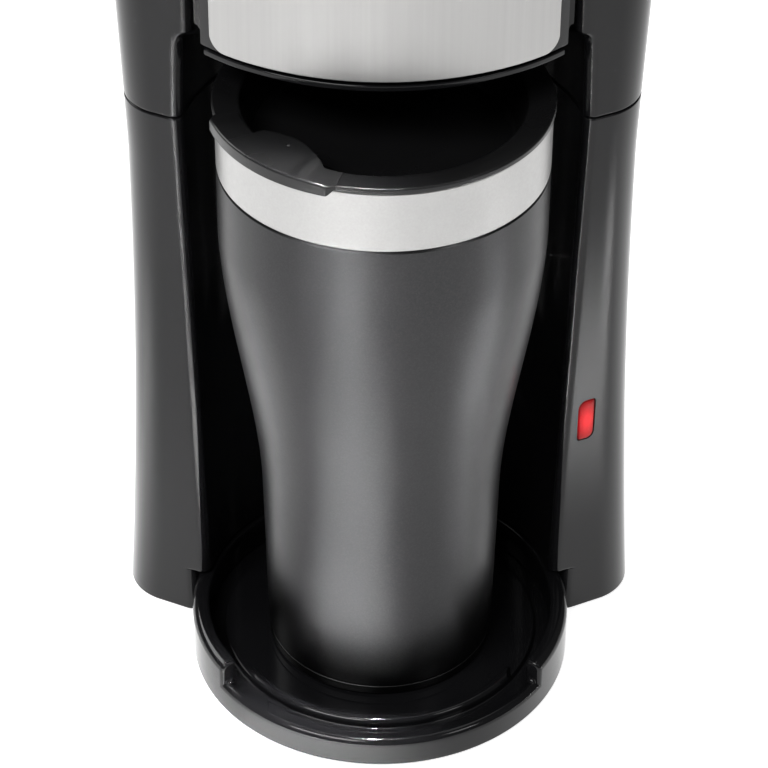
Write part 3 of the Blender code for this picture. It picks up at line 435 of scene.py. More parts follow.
def moulded(name, dark, light, roughness, grain=0.00003, gloss=0.5):
    """Moulded plastic: slow changes of tone and gloss, and a fine skin texture."""
    look = Look(name, dark, roughness, Specular_IOR_Level=gloss)
    look.vary("Base Color", look.tones(look.noise(26.0), [(0.35, dark), (0.65, light)]))
    look.vary("Roughness", look.spread(look.noise(60.0, 4.0), roughness * 0.88, roughness * 1.15))
    look.bump(look.noise(900.0, 2.0), grain, 0.35)
    return look.material


def glossy_black():
    """The casing's polished black plastic."""
    look = Look("glossy_black_plastic", (0.005, 0.005, 0.0055), 0.1, Specular_IOR_Level=0.22)
    look.vary("Base Color", look.tones(
        look.noise(20.0), [(0.3, (0.0042, 0.0042, 0.0047)), (0.7, (0.006, 0.006, 0.0066))],
    ))
    look.vary("Roughness", look.spread(look.noise(45.0, 5.0), 0.08, 0.115))
    look.bump(look.noise(420.0, 2.0), 0.00001, 0.05)
    return look.material


def brushed_panel():
    """Steel sheet brushed upwards: long fine lines in tone, gloss and relief."""
    look = Look("brushed_steel_sheet", (0.319, 0.316, 0.312), 0.36, 1.0, Anisotropic=0.45)
    fine = look.noise(900.0, 4.0, (1.0, 1.0, 0.012))
    broad = look.noise(160.0, 3.0, (1.0, 1.0, 0.03))
    look.vary("Base Color", look.tones(fine, [
        (0.25, (0.308, 0.305, 0.301)), (0.5, (0.319, 0.316, 0.312)), (0.75, (0.33, 0.327, 0.322)),
    ]))
    look.vary("Roughness", look.spread(broad, 0.33, 0.4))
    look.bump(fine, 0.00001, 0.06)
    tangent = look.node("ShaderNodeTangent", direction_type="RADIAL", axis="Z")
    look.link(tangent.outputs["Tangent"], look.shader.inputs["Tangent"])
    return look.material


def satin_steel():
    """The mug's bare steel band: satin, with faint mottling."""
    look = Look("bright_steel", (0.362, 0.359, 0.355), 0.38, 1.0)
    look.vary("Base Color", look.tones(look.noise(1600.0, 4.0), [
        (0.3, (0.348, 0.345, 0.341)), (0.55, (0.362, 0.359, 0.355)), (0.75, (0.374, 0.371, 0.367)),
    ]))
    look.vary("Roughness", look.spread(look.noise(500.0, 4.0), 0.34, 0.41))
    look.bump(look.noise(2200.0, 3.0), 0.00001, 0.2)
    return look.material


def gunmetal():
    """The mug's metallic dark grey coat: fine flakes under a satin finish."""
    edge_tint = (0.85, 0.85, 0.85, 1.0)
    look = Look("gunmetal_coat", (0.036, 0.036, 0.037), 0.33, 1.0, Specular_Tint=edge_tint)
    flakes = look.node("ShaderNodeTexVoronoi")
    flakes.inputs["Scale"].default_value = 2600.0
    look.link(look.place(), flakes.inputs["Vector"])
    look.vary("Base Color", look.tones(flakes.outputs["Color"], [
        (0.1, (0.032, 0.032, 0.033)), (0.6, (0.036, 0.036, 0.037)), (0.95, (0.041, 0.041, 0.042)),
    ]))
    look.vary("Roughness", look.spread(look.noise(90.0, 4.0), 0.3, 0.35))
    look.bump(look.noise(1400.0, 2.0), 0.00001, 0.15)
    return look.material


def plated(name, colour, roughness):
    """Bare or plated metal of the inner fittings."""
    look = Look(name, colour, roughness, 1.0)
    darker = tuple(c * 0.75 for c in colour)
    look.vary("Base Color", look.tones(look.noise(300.0, 4.0), [(0.3, darker), (0.65, colour)]))
    look.vary("Roughness", look.spread(look.noise(500.0, 3.0), roughness * 0.8, roughness * 1.3))
    look.bump(look.noise(1200.0, 2.0), 0.00003, 0.3)
    return look.material


def rubbery(name, dark, light, roughness):
    """Rubber and silicone, with a soft matt skin."""
    look = Look(name, dark, roughness)
    look.vary("Base Color", look.tones(look.noise(150.0, 4.0), [(0.35, dark), (0.65, light)]))
    look.bump(look.noise(1800.0, 3.0), 0.00006, 0.5)
    return look.material


def red_lens():
    """The button's lens, painted to glow: emission with a painted glow bright in its middle and painted
    shade, dark red, towards its edges.
    """
    look = Look(
        "red_lens", (0.55, 0.01, 0.015), 0.22,
        # The emission strength makes the lens glow with painted light; no lamp stands behind it in the
        # scene.
        Specular_IOR_Level=0.12, Coat_Weight=0.03, Emission_Strength=0.4,
    )
    gradient = look.node("ShaderNodeTexGradient", gradient_type="SPHERICAL")
    mapping = look.node("ShaderNodeMapping", vector_type="TEXTURE")
    mapping.inputs["Location"].default_value = placed(*BUTTON_FACE)
    mapping.inputs["Scale"].default_value = (0.0044, 0.0044, 0.0085)
    source = look.node("ShaderNodeTexCoord")
    look.link(source.outputs["Object"], mapping.inputs["Vector"])
    look.link(mapping.outputs["Vector"], gradient.inputs["Vector"])
    # Painted glow and painted shade: a bright red middle fading to dark red at the edges, used both as
    # colour and as emission.
    painted_glow = look.tones(gradient.outputs["Fac"], [
        (0.0, (0.06, 0.0005, 0.001)), (0.35, (0.27, 0.001, 0.002)), (0.8, (0.6, 0.008, 0.012)),
    ])
    look.vary("Base Color", painted_glow)
    look.vary("Emission Color", painted_glow)
    look.bump(look.noise(900.0, 2.0), 0.00002, 0.2)
    return look.material


def make_looks():
    """The record's material slots, each with its own material."""
    return {
        "glossy_black_plastic": glossy_black(),
        "satin_black_plastic": moulded(
            "satin_black_plastic", (0.013, 0.013, 0.014), (0.02, 0.02, 0.021), 0.38),
        "inner_plastic": moulded(
            "inner_plastic", (0.03, 0.03, 0.032), (0.042, 0.042, 0.045), 0.42, grain=0.00006),
        "reservoir_plastic": moulded("reservoir_plastic", (0.42, 0.43, 0.45), (0.5, 0.51, 0.53), 0.32),
        "brushed_steel_sheet": brushed_panel(),
        "bright_steel": satin_steel(),
        "zinc_steel": plated("zinc_steel", (0.6, 0.6, 0.62), 0.3),
        "cast_alloy": plated("cast_alloy", (0.62, 0.63, 0.64), 0.48),
        "gunmetal_coat": gunmetal(),
        "lid_plastic": moulded(
            "lid_plastic", (0.0045, 0.0045, 0.0048), (0.006, 0.006, 0.0063), 0.3, gloss=0.3),
        "black_rubber": rubbery("black_rubber", (0.018, 0.018, 0.018), (0.03, 0.03, 0.03), 0.75),
        "silicone": rubbery("silicone", (0.62, 0.61, 0.57), (0.72, 0.71, 0.67), 0.45),
        "red_lens": red_lens(),
        "terminal_plastic": moulded("terminal_plastic", (0.66, 0.64, 0.58), (0.74, 0.72, 0.66), 0.5),
        "red_insulation": moulded("red_insulation", (0.42, 0.02, 0.02), (0.5, 0.03, 0.03), 0.4),
        "blue_insulation": moulded("blue_insulation", (0.02, 0.07, 0.33), (0.03, 0.1, 0.42), 0.4),
        "white_insulation": moulded("white_insulation", (0.7, 0.7, 0.68), (0.8, 0.8, 0.78), 0.4),
    }


# ---------------------------------------------------------------- housing outlines

def side_half(z):
    """Half the machine's width: flared at the foot, waisted, and flared again at the top."""
    if z < WAIST_Z:
        return WAIST_HALF + FOOT_FLARE * ((WAIST_Z - z) / WAIST_Z) ** 2
    return WAIST_HALF + TOP_FLARE * ((z - WAIST_Z) / (HOUSING_TOP_Z - WAIST_Z)) ** 1.15


def back_edge(z):
    return BACK_Y - 0.45 * (side_half(0.0) - side_half(z))


def front_line(x, z):
    """Where a pillar's slanted front face is, at this distance from the middle."""
    return FRONT_Y - FRONT_LEAN * min(z, SEAM_Z) + FRONT_SLOPE * (x - FRONT_X)


def tip_x(z):
    """The inner front edge of a pillar."""
    if z < SEAM_Z:
        return TIP_LOW_X + TIP_RISE_X * (max(z, 0.0) - NOTCH_TOP_Z) / (SEAM_Z - NOTCH_TOP_Z)
    return TIP_HIGH_X - TIP_CLOSING * (z - SEAM_Z)


def bay_radius(z):
    return math.hypot(tip_x(z), front_line(tip_x(z), z))


SLANT = math.hypot(1.0, FRONT_SLOPE)
LEAN_DEG = math.degrees(math.atan(FRONT_SLOPE))
CREASE_BACK = math.tan(math.radians((90.0 - LEAN_DEG) / 2.0))
BUTTON_FACE = (BUTTON_X, front_line(BUTTON_X, BUTTON_Z), BUTTON_Z)


def right_side(z, inset):
    """The right pillar's crease, the side and the rear corner, moved inwards by the inset."""
    side = side_half(z) - inset
    back = back_edge(z) - inset
    crease = CREASE_R - inset
    crease_y = front_line(side, z) + inset * SLANT + crease * CREASE_BACK
    corner = BACK_CORNER_R - inset
    points = arc((side - crease, crease_y), crease, LEAN_DEG - 90.0, 0.0, 26)
    points += between(points[-1], (side, back - corner), 5)
    points += arc((side - corner, back - corner), corner, 0.0, 90.0, 22)
    return points + between(points[-1], (0.0, back), 4)


def mirrored(points):
    return [(-x, y) for x, y in reversed(points)]


def half_plan(edge, z, inset, pull=0.0):
    """From the rounded inner edge along the front face, round the side and to the back."""
    side = right_side(z, inset)
    front = between(edge[-1], side[0], FRONT_COUNT)
    if pull:
        edge = [(x, y + pull) for x, y in edge]
        front = [(x, y + pull * (1.0 - smooth_step(FRONT_X, FRONT_X + 3.5, x))) for x, y in front]
    return edge + front + side


def bay_plan(z, bay, inset=0.0, edge_r=EDGE_R, pull=0.0):
    """The C-shaped plan round the mug bay, with narrow rounded edges beside the bay."""
    radius = bay + inset + edge_r
    rise = front_line(0.0, z) + (inset + edge_r) * SLANT
    a = 1.0 + FRONT_SLOPE ** 2
    b = FRONT_SLOPE * rise
    x = (-b + math.sqrt(b * b - a * (rise * rise - radius * radius))) / a
    middle = (x, rise + FRONT_SLOPE * x)
    facing = math.degrees(math.atan2(middle[1], middle[0]))
    edge = arc(middle, edge_r, 180.0 + facing, 270.0 + LEAN_DEG, EDGE_STEPS)
    half = half_plan(edge, z, inset, pull)
    wall = arc((0.0, 0.0), bay + inset, 180.0 - facing, facing, BAY_COUNT + 1)[1:-1]
    return half + mirrored(half) + wall


def head_front(radius, half, count):
    """The brew head's round front between two side edges at this half width."""
    turn = math.degrees(math.asin(half / radius))
    return arc((0.0, HEAD_CENTRE_Y), radius, -90.0 - turn, -90.0 + turn, count)


def head_plan(z, front_inset=0.0, inset=0.0):
    """The closed plan of the brew head: a round front, a groove each side, then the pillars."""
    near, far = GROOVE_X
    middle = (far + EDGE_R, front_line(far + EDGE_R, z) + EDGE_R * SLANT)
    edge = arc(middle, EDGE_R, 180.0, 270.0 + LEAN_DEG, EDGE_STEPS)
    half = half_plan(edge, z, inset)
    front = head_front(HEAD_R - front_inset, near - front_inset, HEAD_COUNT - 1)
    beside = [(near, GROOVE_Y[0]), (near, GROOVE_Y[1]), (far, GROOVE_Y[1])]
    return half + mirrored(half) + mirrored(beside) + front + beside


def rim_plan(z):
    """The head's inner outline, just inside its wall and behind its side grooves."""
    edge = between((50.6, 11.44), (51.6, 11.5), EDGE_STEPS + 1)
    half = half_plan(edge, z, WALL)
    front = head_front(HEAD_R - WALL, HEAD_INNER_HALF, HEAD_COUNT - 1)
    beside = [(43.8, 7.0), (44.5, 11.0), (47.5, 11.2)]
    return half + mirrored(half) + mirrored(beside) + front + beside


# ---------------------------------------------------------------- base

def rim_section(top, width):
    """A cross-section of the raised rim, (radius, z), with a broad outer rounding."""
    middle = (RIM_INNER_R + TRAY_R) / 2.0
    low, high = middle - width / 2.0, middle + width / 2.0
    height = top - RIM_BURIED_Z
    outer = min(2.9, 0.5 * width, 0.6 * height)
    inner = min(1.0, 0.35 * width, 0.3 * height)
    return rounded([
        (low, RIM_BURIED_Z, 0.0), (high, RIM_BURIED_Z, 0.0), (high, top, outer), (low, top, inner),
    ], 7)


def rim_end():
    """(angle inwards from the end face, top, width) from the foot of the step up to the full rim."""
    foot, nose, edge = 1.4, 1.1, 1.5
    narrow = TRAY_R - RIM_INNER_R - 1.5 * edge
    rows = []
    for i in range(6):
        a = math.radians(18.0 * i)
        top = FRONT_RIM_Z + 0.1 + foot * (1.0 - math.cos(a))
        rows.append((-foot * (1.0 - math.sin(a)), top, narrow))
    for i in range(7):
        a = math.radians(15.0 * i)
        run = edge * (1.0 - math.cos(a))
        top = SIDE_RIM_Z - nose * (1.0 - math.sqrt(1.0 - max(0.0, 1.0 - run / nose) ** 2))
        rows.append((run + 0.02, top, narrow + 1.5 * edge * math.sin(a)))
    return [(math.degrees(run / TRAY_R), top, width) for run, top, width in rows]


def turned_loop(section, angle, slant_deg=0.0):
    """A section at an angle round the centre; a slant turns it back with each mm outwards and up."""
    inner = min(r for r, _ in section)
    points = []
    for r, z in section:
        back = slant_deg * (r - inner) * max(0.0, z - TRAY_FLOOR_Z)
        a = math.radians(angle - back)
        points.append((r * math.sin(a), -r * math.cos(a), z))
    return points


def rib_loops():
    """The arc rib in front of the mug, a rounded ridge cut off at a slant at both ends."""
    low, high = RIB_Z
    section = rounded([
        (RIB_R[0], low, 0.0), (RIB_R[1], low, 0.0), (RIB_R[1], high, 1.5), (RIB_R[0], high, 0.45),
    ], 7)
    shares = [i / 60.0 - 1.0 for i in range(121)]
    return [
        turned_loop(section, RIB_END_DEG * share, RIB_END_SLANT_DEG * share ** 9) for share in shares
    ]


def tray():
    """The dish with its skirt and front rim, the raised rim round the sides, and the rib."""
    bm = bmesh.new()
    revolve(bm, rounded([
        (SKIRT_INNER_R, 0.0, 0.3), (TRAY_R, 0.0, 0.5), (TRAY_R, FRONT_RIM_Z, 2.3),
        (FRONT_RIM_INNER_R, FRONT_RIM_Z, 0.28), (GROOVE_OUTER_R, TRAY_FLOOR_Z, 1.6),
        (RIB_R[1] + 0.1, TRAY_FLOOR_Z, 0.5), (RIB_R[1] - 0.5, PLATFORM_Z, 0.5),
        (0.0, PLATFORM_Z, 0.0), (0.0, TRAY_UNDER_Z, 0.0), (SKIRT_INNER_R, TRAY_UNDER_Z, 0.3),
    ], 7), steps=180)
    ends = rim_end()
    rows = [(RIM_STEP_DEG + run, top, width) for run, top, width in ends]
    start = rows[-1][0]
    reach = 360.0 - 2.0 * start
    rows += [(start + reach * i / 130, SIDE_RIM_Z, TRAY_R - RIM_INNER_R) for i in range(1, 130)]
    rows += [(360.0 - RIM_STEP_DEG - run, top, width) for run, top, width in reversed(ends)]
    skin(bm, [turned_loop(rim_section(top, width), angle) for angle, top, width in rows])
    skin(bm, rib_loops())
    made("tray", bm, "glossy_black_plastic", ("base_tray",))


# ---------------------------------------------------------------- housing

def lower_shell():
    """The C-shaped shell below the parting line, notched round the tray and open below."""
    loops = []
    for rise, inset in reversed(quarter(FOOT_EASE, 4)):
        loops.append(at_height(bay_plan(FOOT_EASE - rise, NOTCH_R, inset), FOOT_EASE - rise))
    for z in (4.0, 8.0, 12.0, NOTCH_TOP_Z):
        loops.append(at_height(bay_plan(z, NOTCH_R), z))
    low, high = NOTCH_TOP_Z + NOTCH_EASE, SEAM_LOW_Z - SEAM_EASE
    for rise, pull in reversed(quarter(NOTCH_EASE, 4)):
        z = low - rise
        loops.append(at_height(bay_plan(z, bay_radius(z) + 0.5 * pull, pull=pull), z))
    for i in range(1, 30):
        z = low + (high - low) * i / 29
        loops.append(at_height(bay_plan(z, bay_radius(z)), z))
    for rise, inset in quarter(SEAM_EASE, 4)[1:]:
        z = high + rise
        loops.append(at_height(bay_plan(z, bay_radius(z), inset), z))
    inner_foot = NOTCH_TOP_Z + WALL
    for z in (SEAM_LOW_Z, 120.0, 60.0, inner_foot):
        loops.append(at_height(bay_plan(z, bay_radius(z), WALL, INNER_EDGE_R), z))
    for z in (inner_foot, 0.0):
        loops.append(at_height(bay_plan(z, NOTCH_R, WALL, INNER_EDGE_R), z))
    bm = bmesh.new()
    skin(bm, loops, closed=True)
    shell = made("housing_lower", bm, "glossy_black_plastic", ("lower_housing",))
    hole = bmesh.new()
    skin(hole, [button_loop(depth, BUTTON_GAP) for depth in (-4.0, 4.6)])
    cut(shell, hole, "button_recess")
    gland = bmesh.new()
    low, high = span("cord_gland")
    ring = circle(((low.x + high.x) / 2.0, (low.z + high.z) / 2.0), GLAND_R, 32)
    skin(gland, [[(x, y, z) for x, z in ring] for y in (low.y - 1.0, high.y + 3.0)])
    cut(shell, gland, "gland_recess")


def upper_shell():
    """The shell above the parting line, closing over the bay into the brew head."""
    loops = []
    for z in (SEAM_HIGH_Z + SEAM_LIP, SEAM_HIGH_Z):
        loops.append(at_height(bay_plan(z, bay_radius(z), WALL, INNER_EDGE_R), z))
    for rise, inset in reversed(quarter(SEAM_EASE, 4)):
        z = SEAM_HIGH_Z + SEAM_EASE - rise
        loops.append(at_height(bay_plan(z, bay_radius(z), inset), z))
    arch_z = HEAD_FLOOR_Z - ARCH_R
    for z in (180.0, 186.0, 192.0, arch_z):
        loops.append(at_height(bay_plan(z, bay_radius(z)), z))
    for rise, inset in quarter(ARCH_R, 8)[1:]:
        z = arch_z + rise
        loops.append(at_height(bay_plan(z, bay_radius(z) - ARCH_SPREAD * inset), z))
    loops.append(at_height(head_plan(HEAD_FLOOR_Z, HEAD_EASE), HEAD_FLOOR_Z))
    low, top = HEAD_FLOOR_Z + HEAD_EASE, HOUSING_TOP_Z - HEAD_TOP_EASE
    for rise, inset in reversed(quarter(HEAD_EASE, 3)[:-1]):
        loops.append(at_height(head_plan(low - rise, inset), low - rise))
    for i in range(1, 15):
        z = low + (top - low) * i / 14
        loops.append(at_height(head_plan(z), z))
    for rise, inset in quarter(HEAD_TOP_EASE, 3)[1:]:
        loops.append(at_height(head_plan(top + rise, inset, inset), top + rise))
    for z in (HOUSING_TOP_Z, DECK_Z - 2.0):
        loops.append(at_height(rim_plan(z), z))
    bm = bmesh.new()
    skin(bm, loops, caps=(False, False))
    made("housing_upper", bm, "glossy_black_plastic", ("upper_housing",))


def rear_outline(z, inset):
    """The part of the plan behind the lid, for the hinge bridge."""
    half = [point for point in right_side(z, inset) if point[1] > BRIDGE_FRONT_Y + 0.4]
    half = [(half[0][0] + 0.3, BRIDGE_FRONT_Y)] + half
    return half + mirrored(half)


def profile_block(bm, outline, start, end, bevel):
    """An outline of (y, z) drawn along x, with its two end edges rounded."""
    middle = [sum(c) / len(outline) for c in zip(*outline)]
    reach = max(math.dist(point, middle) for point in outline)
    rows = [(start + bevel - rise, inset) for rise, inset in reversed(quarter(bevel, 3))]
    rows += [(end - bevel + rise, inset) for rise, inset in quarter(bevel, 3)]
    loops = []
    for x, inset in rows:
        scale = 1.0 - inset / reach
        loops.append([
            (x, middle[0] + (y - middle[0]) * scale, middle[1] + (z - middle[1]) * scale)
            for y, z in outline
        ])
    skin(bm, loops)


def hinge_bridge():
    """The ridge behind the lid, with two ears round each of the lid's knuckles."""
    bm = bmesh.new()
    count = len(rear_outline(HOUSING_TOP_Z, BRIDGE_EDGE_R))
    levels = [(HOUSING_TOP_Z - 0.1, 0.0), (266.0, 0.0)]
    for rise, inset in quarter(BRIDGE_EDGE_R, 7):
        levels.append((BRIDGE_SIDE_Z + BRIDGE_RISE * rise / BRIDGE_EDGE_R, inset))
    loops = []
    for z, inset in levels:
        outline = rear_outline(HOUSING_TOP_Z, inset)
        loops.append(at_height(resampled(outline, count), z))
    skin(bm, loops)
    near, far = EAR_X
    for sign in (-1.0, 1.0):
        for low, high in ((near, far), (-far, -near)):
            profile = [(HINGE_Y - 2.8, 272.0), (HINGE_Y + 2.8, 272.0)]
            profile += arc((HINGE_Y, HINGE_Z), KNUCKLE_R, -30.0, 210.0, 24)
            profile_block(bm, profile, sign * HINGE_X + low, sign * HINGE_X + high, 0.5)
    made("hinge_bridge", bm, "glossy_black_plastic")


def resampled(outline, count):
    """The same open outline with this many points, evenly spread along it."""
    reach = [0.0]
    for a, b in zip(outline, outline[1:]):
        reach.append(reach[-1] + math.dist(a, b))
    points, k = [], 0
    for i in range(count):
        want = reach[-1] * i / (count - 1)
        while k < len(reach) - 2 and reach[k + 1] < want:
            k += 1
        t = (want - reach[k]) / (reach[k + 1] - reach[k])
        points.append(tuple(a + (b - a) * t for a, b in zip(outline[k], outline[k + 1])))
    return points


def panel():
    """The curved sheet on the brew head: small rounded lower corners and eased edges."""
    corner, ease = PANEL_CORNER_R, PANEL_EASE
    reach = math.asin(PANEL_HALF / PANEL_R) * PANEL_R
    edge = [corner * (1.0 - math.cos(math.radians(90.0 * i / 10))) for i in range(11)]
    inner = [-reach + corner + (2.0 * reach - 2.0 * corner) * i / 96 for i in range(1, 96)]
    runs = [-reach + e for e in edge] + inner + [reach - e for e in reversed(edge)]
    back = PANEL_R - PANEL_SHEET
    loops = []
    for run in runs:
        out = max(0.0, corner - (reach - abs(run)))
        low = PANEL_LOW_Z + corner - math.sqrt(max(corner ** 2 - out ** 2, 0.0))
        side = max(0.0, ease - (reach - abs(run)))
        face = PANEL_R - (ease - math.sqrt(max(ease ** 2 - side ** 2, 0.0)))
        section = [(back, low), (face - ease, low), (face - 0.1, low + 0.1), (face, low + ease)]
        section += [(face, PANEL_HIGH_Z - ease), (face - 0.1, PANEL_HIGH_Z - 0.1)]
        section += [(face - ease, PANEL_HIGH_Z), (back, PANEL_HIGH_Z)]
        a = run / PANEL_R
        loops.append([(r * math.sin(a), HEAD_CENTRE_Y - r * math.cos(a), z) for r, z in section])
    bm = bmesh.new()
    skin(bm, loops)
    made("panel", bm, "brushed_steel_sheet", ("front_panel",))


def head_plate():
    """The plate under the brew head, whose front edge shows as a thin line under the panel."""
    low, high = HEAD_BASE_Z
    turn = math.degrees(math.asin(HEAD_BASE_HALF / HEAD_BASE_R))

    def outline(inset):
        radius = HEAD_BASE_R - inset
        front = arc((0.0, HEAD_CENTRE_Y), radius, -90.0 - turn, -90.0 + turn, 80)
        return front + arc((0.0, 0.0), HEAD_BASE_BAY_R - inset, 20.0, 160.0, 60)

    ease = HEAD_BASE_EASE
    bevel = quarter(ease, 4)
    loops = [at_height(outline(inset), low + ease - rise) for rise, inset in reversed(bevel)]
    loops += [at_height(outline(inset), high - ease + rise) for rise, inset in bevel]
    bm = bmesh.new()
    skin(bm, loops)
    plate = made("head_underplate", bm, "glossy_black_plastic", ("head_base",))
    outlet = bmesh.new()
    ring = circle((0.0, BASKET_Y), OUTLET_R, 48)
    skin(outlet, [at_height(ring, z) for z in (low - 3.0, high + 3.0)])
    cut(plate, outlet, "drip_outlet")


# ---------------------------------------------------------------- top lid

def lid_outline(inset):
    """The lid's plan: the head's outline cut off straight in front of the hinge."""
    turn = math.degrees(math.asin(GROOVE_X[0] / HEAD_R))
    half = arc((0.0, HEAD_CENTRE_Y), HEAD_R, -90.0, -90.0 + turn, 40)
    half += between(half[-1], (LID_CORNER_X, front_line(LID_CORNER_X, HOUSING_TOP_Z)), 5)
    half += right_side(HOUSING_TOP_Z, 0.0)
    points = []
    for x, y in half + mirrored(half)[:-1]:
        reach = math.hypot(x, y - LID_CENTRE_Y)
        scale = (reach - inset) / reach
        rear = LID_REAR_Y - inset
        points.append((x * scale, min(LID_CENTRE_Y + (y - LID_CENTRE_Y) * scale, rear)))
    return points


def lid_levels(low_z, top_z, first):
    """(height, inset) rows of a soft dome: upright below, then one curve up to a flat top."""
    steps = 18
    rows = [(low_z, first), (low_z + 0.5 * (LID_SIDE_Z - low_z), first)]
    for i in range(steps + 1):
        a = math.radians(90.0 * i / steps)
        out = math.cos(a) ** (2.0 / LID_CROWN_POWER) if i < steps else 0.0
        up = math.sin(a) ** (2.0 / LID_CROWN_POWER)
        z = LID_SIDE_Z + (top_z - LID_SIDE_Z) * up
        rows.append((z, first + (LID_CROWN - first) * (1.0 - out)))
    return rows


def lid_tab():
    """The lifting tab at the lid's front, with its upper and lower edges rounded."""
    low, high = TAB_Z
    rows = [(low + TAB_EASE - rise, inset) for rise, inset in reversed(quarter(TAB_EASE, 4))]
    rows += [(high - TAB_EASE + rise, inset) for rise, inset in quarter(TAB_EASE, 4)]
    front, back = TAB_Y
    loops = []
    for z, inset in rows:
        half = TAB_HALF - inset
        corners = [
            (-half, front + inset, 3.0), (half, front + inset, 3.0), (half, back, 0.5), (-half, back, 0.5),
        ]
        loops.append(at_height(rounded(corners, 8), z))
    return loops


def top_lid():
    """The hinged lid: a soft dome over a hollow, a tab in front and two knuckles behind."""
    ease = HEAD_TOP_EASE
    outer = [(LID_LOW_Z + ease - rise, inset) for rise, inset in reversed(quarter(ease, 3))]
    outer += lid_levels(LID_LOW_Z + 0.6, LID_TOP_Z, 0.0)
    inner = reversed(lid_levels(LID_LOW_Z, LID_UNDER_Z, LID_WALL))
    lip = [(LID_LOW_Z, ease), (LID_LOW_Z, LID_WALL)]
    bm = bmesh.new()
    for rows, caps in ((outer, (False, True)), (inner, (True, False)), (lip, (False, False))):
        skin(bm, [at_height(lid_outline(inset), z) for z, inset in rows], caps=caps)
    skin(bm, lid_tab())
    knuckle = arc((HINGE_Y, HINGE_Z), KNUCKLE_R, -90.0, 90.0, 20)
    knuckle += [
        (HINGE_Y - 12.0, HINGE_Z - 1.0), (HINGE_Y - 12.0, 272.5), (HINGE_Y - 5.6, 272.5),
        (HINGE_Y - 4.2, HINGE_Z - KNUCKLE_R),
    ]
    for x in (-HINGE_X, HINGE_X):
        profile_block(bm, knuckle, x - KNUCKLE_HALF, x + KNUCKLE_HALF, 0.4)
    made("lid_cover", bm, "glossy_black_plastic", ("top_lid",), "top_lid")


# ---------------------------------------------------------------- button

def button_loop(depth, grow):
    """The button's outline on the slanted face: two opposite corners round, two nearly sharp."""
    half_w, half_h = BUTTON_HALF[0] + grow, BUTTON_HALF[1] + grow
    large, small = max(BUTTON_CORNER_R + grow, 0.3), max(BUTTON_SHARP_R + grow, 0.12)
    corners = ((1, 1, small), (-1, 1, large), (-1, -1, small), (1, -1, large))
    outline = []
    for quadrant, (sx, sy, radius) in enumerate(corners):
        middle = (sx * (half_w - radius), sy * (half_h - radius))
        outline += arc(middle, radius, 90.0 * quadrant, 90.0 * quadrant + 90.0, 8)
    along = Vector((1.0, FRONT_SLOPE, 0.0)).normalized()
    outward = Vector((along.y, -along.x, 0.0))
    face = Vector(BUTTON_FACE) - outward * depth
    return [tuple(face + along * a + Vector((0.0, 0.0, up))) for a, up in outline]


def button():
    """A lens with a rounded rim and a slightly raised middle."""
    rows = [(4.9, 0.0), (0.4, 0.0)]
    rows += [(0.4 - rise, -inset) for rise, inset in quarter(0.55, 5)[1:]]
    rows += [(-0.2, -0.85), (-0.26, -1.2), (-0.3, -1.6)]
    bm = bmesh.new()
    skin(bm, [button_loop(depth, grow) for depth, grow in rows])
    made("button_lens", bm, "red_lens", ("power_button",), "power_button", sharp=60.0)


# ---------------------------------------------------------------- travel mug

def mug_radius(z):
    """The mug's outside: nearly straight below, then one soft swelling up to the shoulder."""
    return MUG_R + MUG_TAPER * (z - 10.0) + MUG_SWELL * smooth_step(*MUG_SWELL_Z, z)


def mug():
    """The coated wall, the bare steel band above it and the cap under its foot."""
    low, high = BODY_Z
    rows = [low + 0.5 + (high - 1.0 - low) * i / 48 for i in range(49)]
    outer = [(min(mug_radius(z), COLLAR_R), z) for z in rows]
    inner = [(r - MUG_WALL, max(z, low + 2.2)) for r, z in reversed(outer[::3])]
    profile = [(0.0, low), (MUG_R - 0.4, low), (MUG_R - 0.1, low + 0.12)]
    profile += outer + [(COLLAR_R - 0.4, high)] + inner
    profile += [(30.0, low + MUG_WALL), (0.0, low + MUG_WALL)]
    bm = bmesh.new()
    revolve(bm, profile, MUG_CENTRE)
    made("mug_shell", bm, "gunmetal_coat", ("mug_body",), "mug")
    turned("mug_band", [
        (BAND_INNER_R, BAND_Z[0], 0.2), (COLLAR_R, BAND_Z[0], 0.35),
        (COLLAR_R, BAND_Z[1], 0.5), (BAND_INNER_R, BAND_Z[1], 0.3),
    ], "bright_steel", "mug_collar", "mug")
    top = low - 0.2
    turned("mug_foot", [
        (0.0, MUG_FOOT_Z, 0.0), (MUG_R - 0.15, MUG_FOOT_Z, 0.7), (MUG_R - 0.05, top, 0.3), (0.0, top, 0.0),
    ], "gunmetal_coat", "mug_base", "mug")


def mug_closure():
    """The ring-shaped lid with its deep dish and the drinking hole."""
    low = BAND_Z[1] + 0.3
    under, top = LID_Z
    groove_low, groove_high = GASKET_GROOVE_Z
    lid = turned("mug_lid_ring", [
        (0.0, under, 0.0), (DISH_R - 0.9, under, 1.0), (DISH_R + 1.5, PLUG_LOW_Z, 0.5),
        (LID_PLUG_R, PLUG_LOW_Z, 0.3), (LID_PLUG_R, groove_low, 0.0), (GASKET_GROOVE_R, groove_low, 0.0),
        (GASKET_GROOVE_R, groove_high, 0.0), (LID_PLUG_R, groove_high, 0.0), (LID_PLUG_R, low, 0.2),
        (LID_FLANGE_R, low, 0.3), (LID_FLANGE_R, top, 0.55), (DISH_R + 2.8, top - 0.5, 1.0),
        (DISH_R, DISH_FLOOR_Z, 1.6), (0.0, DISH_FLOOR_Z, 0.0),
    ], "lid_plastic", "mug_lid", "mug_lid", 180)
    hole = bmesh.new()
    ring = circle(DRINK_HOLE, DRINK_HOLE_R, 48)
    skin(hole, [at_height(ring, z) for z in (under - 3.0, DISH_FLOOR_Z + 3.0)])
    cut(lid, hole, "drink_hole")


def tongue_edge(angle):
    """How near the mug's axis the slider reaches: a tongue with a square left end."""
    if angle <= TONGUE_START_DEG:
        return RING_INNER_R
    return min(RING_INNER_R, TONGUE_R + 0.0165 * (angle - TONGUE_MIDDLE_DEG) ** 2)


